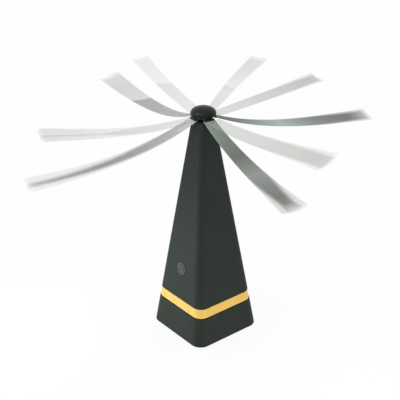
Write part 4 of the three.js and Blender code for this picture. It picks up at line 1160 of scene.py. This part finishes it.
def motor():
    """The motor's can, the bush above it and the shaft through both."""
    low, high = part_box("motor_can")
    radius = (high.x - low.x) / 2
    inside = radius - MOTOR_SHELL
    bore = SHAFT_RADIUS + GAP
    profile = [(inside, low.z), (radius, low.z)]
    profile += arc((radius - MOTOR_EDGE, high.z - MOTOR_EDGE), MOTOR_EDGE, 0, 90)
    profile += [(bore, high.z), (bore, high.z - MOTOR_SHELL), (inside, high.z - MOTOR_SHELL)]
    piece("motor_shell", turned(profile, 72), "housing", STEEL, ["motor_can"])

    low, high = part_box("top_bush")
    flange = BUSH_RADIUS + BUSH_FLANGE
    flange_top = low.z + BUSH_FLANGE_HEIGHT
    profile = [(bore, low.z), (flange, low.z), (flange, flange_top), (BUSH_RADIUS, flange_top)]
    profile += arc((BUSH_RADIUS - BUSH_EDGE, high.z - BUSH_EDGE), BUSH_EDGE, 0, 90)
    profile += [(bore, high.z)]
    piece("bush", turned(profile, 64), "housing", SHADED_BRONZE, ["top_bush"])

    low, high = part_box("rotor_shaft")
    end = SHAFT_RADIUS - SHAFT_CHAMFER
    profile = [(0, low.z), (end, low.z), (SHAFT_RADIUS, low.z + SHAFT_CHAMFER)]
    profile += [(SHAFT_RADIUS, high.z - SHAFT_CHAMFER), (end, high.z), (0, high.z)]
    piece("shaft", turned(profile, 32), "rotor", STEEL, ["rotor_shaft"])


# ---- Finer copies of the frame's own solids ----


def whole_faces(node, join):
    """An object with a frame solid's mesh, in which join has merged the triangles."""
    work = bmesh.new()
    work.from_mesh(frame["nodes"][node].data)
    bmesh.ops.remove_doubles(work, verts=work.verts, dist=FRAME_MERGE)
    join(work)
    points = [vertex.co.copy() for vertex in work.verts]
    faces = [[vertex.index for vertex in face.verts] for face in work.faces]
    work.free()
    return linked("work", mesh_of(points, faces))


def flats(work):
    bmesh.ops.dissolve_limit(work, angle_limit=math.radians(1), verts=work.verts, edges=work.edges)


def quads(work):
    limits = {"angle_face_threshold": math.radians(40), "angle_shape_threshold": math.radians(180)}
    bmesh.ops.join_triangles(work, faces=work.faces, **limits)


def softened(name, node, width, material, cutter=None):
    """The frame's solid with its sharp edges broken, and cut where there is a cutter."""
    holder = whole_faces(node, flats)
    bevel = holder.modifiers.new("edges", "BEVEL")
    bevel.width = width
    bevel.segments = 2
    bevel.limit_method = "ANGLE"
    bevel.angle_limit = math.radians(40)
    mesh = tidied(evaluated(holder), 40)
    if cutter:
        mesh = combined(mesh, cutter, "DIFFERENCE")
    even_shading(piece(name, mesh, frame["nodes"][node]["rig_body"], material, [node]))


def grip_grooves():
    """Rounded grooves across the battery door, next to its finger notch."""
    low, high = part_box("battery_door")
    middle = (low.y + high.y) / 2
    grooves = []
    for number in range(GROOVE_COUNT):
        x = high.x - GROOVE_FROM_END - number * GROOVE_STEP
        bar = cylinder(GROOVE_RADIUS, -GROOVE_HALF_LENGTH, GROOVE_HALF_LENGTH, 24)
        placed(bar, Matrix.Rotation(math.radians(90), 4, "X"))
        grooves.append(moved(bar, x, middle, low.z - GROOVE_RADIUS + GROOVE_DEPTH))
    return joined(grooves)


def smoothed(name, node, material):
    """The frame's coil or lead, made round."""
    holder = whole_faces(node, quads)
    rounder = holder.modifiers.new("round", "SUBSURF")
    rounder.levels = 2
    rounder.render_levels = 2
    mesh = tidied(evaluated(holder), 60)
    piece(name, mesh, frame["nodes"][node]["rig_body"], material, [node])


def carried_over():
    """The frame's own solids that still show get their finishes."""
    finishes = {"motor_armature": COPPER, "motor_magnet_1": FERRITE, "motor_magnet_2": FERRITE}
    for node, finish in finishes.items():
        for place in frame["nodes"][node].material_slots:
            place.material = finish


# ---- Stage: floor, lights and camera ----


def seen_directly(net):
    """1 for what the eye meets straight on, in a gloss, or through something clear."""
    rays = ("Is Camera Ray", "Is Glossy Ray", "Is Transmission Ray")
    camera, glossy, through = [net.node("ShaderNodeLightPath", output=ray) for ray in rays]
    return (camera + glossy + through).call("MINIMUM", 1.0)


def floor():
    """A white floor that takes soft shadows and is seen as bright as the sky."""
    ground = bpy.data.meshes.new("floor")
    signs = ((-1, -1), (1, -1), (1, 1), (-1, 1))
    corners = [(x * FLOOR_REACH, y * FLOOR_REACH, FLOOR_LEVEL) for x, y in signs]
    ground.from_pydata(corners, [], [(0, 1, 2, 3)])
    material = bpy.data.materials.new("floor_white")
    material.use_nodes = True
    net = Net(material.node_tree)
    leave = next(n for n in net.tree.nodes if n.type == "OUTPUT_MATERIAL")
    matt = net.node("ShaderNodeBsdfDiffuse", None, {"Color": colour(FLOOR_WHITE, FLOOR_WHITE, FLOOR_WHITE)})
    bright = net.node("ShaderNodeEmission", None, {"Color": colour(1, 1, 1), "Strength": 1.0})
    mixed = net.node("ShaderNodeMixShader", None, {0: FLOOR_GLOW * seen_directly(net), 1: matt, 2: bright})
    net.tree.links.new(mixed.socket, leave.inputs["Surface"])
    ground.materials.append(material)
    linked("floor", ground)


def sky():
    """White light from all round, a touch brighter where it is seen."""
    world = bpy.data.worlds.new("studio")
    world.use_nodes = True
    bpy.context.scene.world = world
    net = Net(world.node_tree)
    background = next(n for n in net.tree.nodes if n.type == "BACKGROUND")
    background.inputs["Color"].default_value = colour(1, 1, 1)
    strength = SKY + SKY_SEEN * seen_directly(net)
    net.tree.links.new(strength.socket, background.inputs["Strength"])


def soft_lamp(name, place, target, width, height, watts, spread, tint=(1, 1, 1)):
    """A rectangular lamp of that width and height, which shines from a place to a target."""
    lamp = bpy.data.lights.new(name, "AREA")
    lamp.shape = "RECTANGLE"
    lamp.size = width
    lamp.size_y = height
    lamp.energy = watts
    lamp.color = tint
    lamp.spread = math.radians(spread)
    holder = linked(name, lamp)
    holder.location = place
    holder.rotation_euler = (Vector(target) - Vector(place)).to_track_quat("-Z", "Y").to_euler()
    holder.visible_camera = False


def lamps():
    near = {"width": 0.20, "height": 0.08, "spread": 110}
    window = {"width": 0.8, "height": 0.8, "spread": 140}
    strip = {"width": 0.44, "height": 0.026, "spread": 60}
    soft_lamp("side_glow", (-0.15, -0.24, 0.02), (0, -0.03, 0.03), watts=0.19, tint=(0.84, 1.0, 0.98), **near)
    soft_lamp("right_glow", (0.28, -0.02, 0.03), (0, 0, 0.03), watts=0.06, **near)
    soft_lamp("left_window", (-0.85, -1.05, 0.75), (0, 0, 0.15), watts=1.9, **window)
    soft_lamp("cap_glint", (-0.01, -0.19, 0.43), (0, 0, 0.262), watts=0.1, **strip)


def camera():
    """Looks down on the fan from its front right."""
    turn = Matrix.Rotation(CAMERA_TURN, 3, "Z")
    place = turn @ Vector(CAMERA_PLACE)
    ahead = turn @ Vector((0, math.cos(CAMERA_PITCH), -math.sin(CAMERA_PITCH)))
    level = turn @ Vector((1, 0, 0))
    upright = level.cross(ahead)
    right = level * math.cos(CAMERA_ROLL) - upright * math.sin(CAMERA_ROLL)
    up = level * math.sin(CAMERA_ROLL) + upright * math.cos(CAMERA_ROLL)
    lens = bpy.data.cameras.new("camera")
    lens.sensor_width = CAMERA_SENSOR
    lens.lens = CAMERA_FOCAL
    lens.clip_start = CAMERA_NEAR
    lens.clip_end = CAMERA_FAR
    holder = linked("camera", lens)
    matrix = Matrix((right, up, -ahead)).transposed().to_4x4()
    matrix.translation = place
    holder.matrix_world = matrix
    bpy.context.scene.camera = holder


# ---- Everything ----

camera()
sky()
lamps()
floor()

tower()
band()
skirt()
button()
cap()
blade_film = film_tree()
films(blade_film)
moving_images(blade_film)
repeat = repeat_tree()
screws(repeat)
feet(repeat)
cells()
motor()
for name, node, edge, material, slot, cutter in (
    ("plate", "base_plate", 0.25, DARK, "dark_plastic", None),
    ("door", "battery_door", 0.2, DARK, "dark_plastic", grip_grooves()),
    ("hub", "rotor_hub", 0.15, DARK, "dark_plastic", None),
    ("mount", "motor_mount", 0.25, DARK, "dark_plastic", None),
    ("end_cap", "motor_end_cap", 0.2, PALE, "pale_plastic", None),
    ("switch", "switch_body", 0.15, DARK, "dark_plastic", None),
    ("plunger", "switch_plunger", 0.15, PALE, "pale_plastic", None),
    ("board", "control_board", 0.08, BOARD, "circuit_board", None),
):
    softened(name, node, edge * MM, material, cutter)
for number in (1, 2, 3, 4):
    softened(f"clip_{number}", f"blade_clip_{number}", 0.12 * MM, DARK)
    softened(f"pin_{number}", f"hinge_pin_{number}", 0.1 * MM, STEEL)
for number in (1, 2):
    smoothed(f"spring_{number}", f"contact_spring_{number}", STEEL)
    softened(f"contact_{number}", f"contact_plate_{number}", 0.1 * MM, BRASS)
    softened(f"terminal_{number}", f"motor_terminal_{number}", 0.08 * MM, BRASS)
for name, node in (("supply_lead", "battery_lead"), ("feed_lead", "motor_lead")):
    smoothed(f"{name}_red", f"{node}_red", RED)
    smoothed(f"{name}_black", f"{node}_black", BLACK_WIRE)
carried_over()

bpy.context.scene.view_settings.view_transform = "Standard"
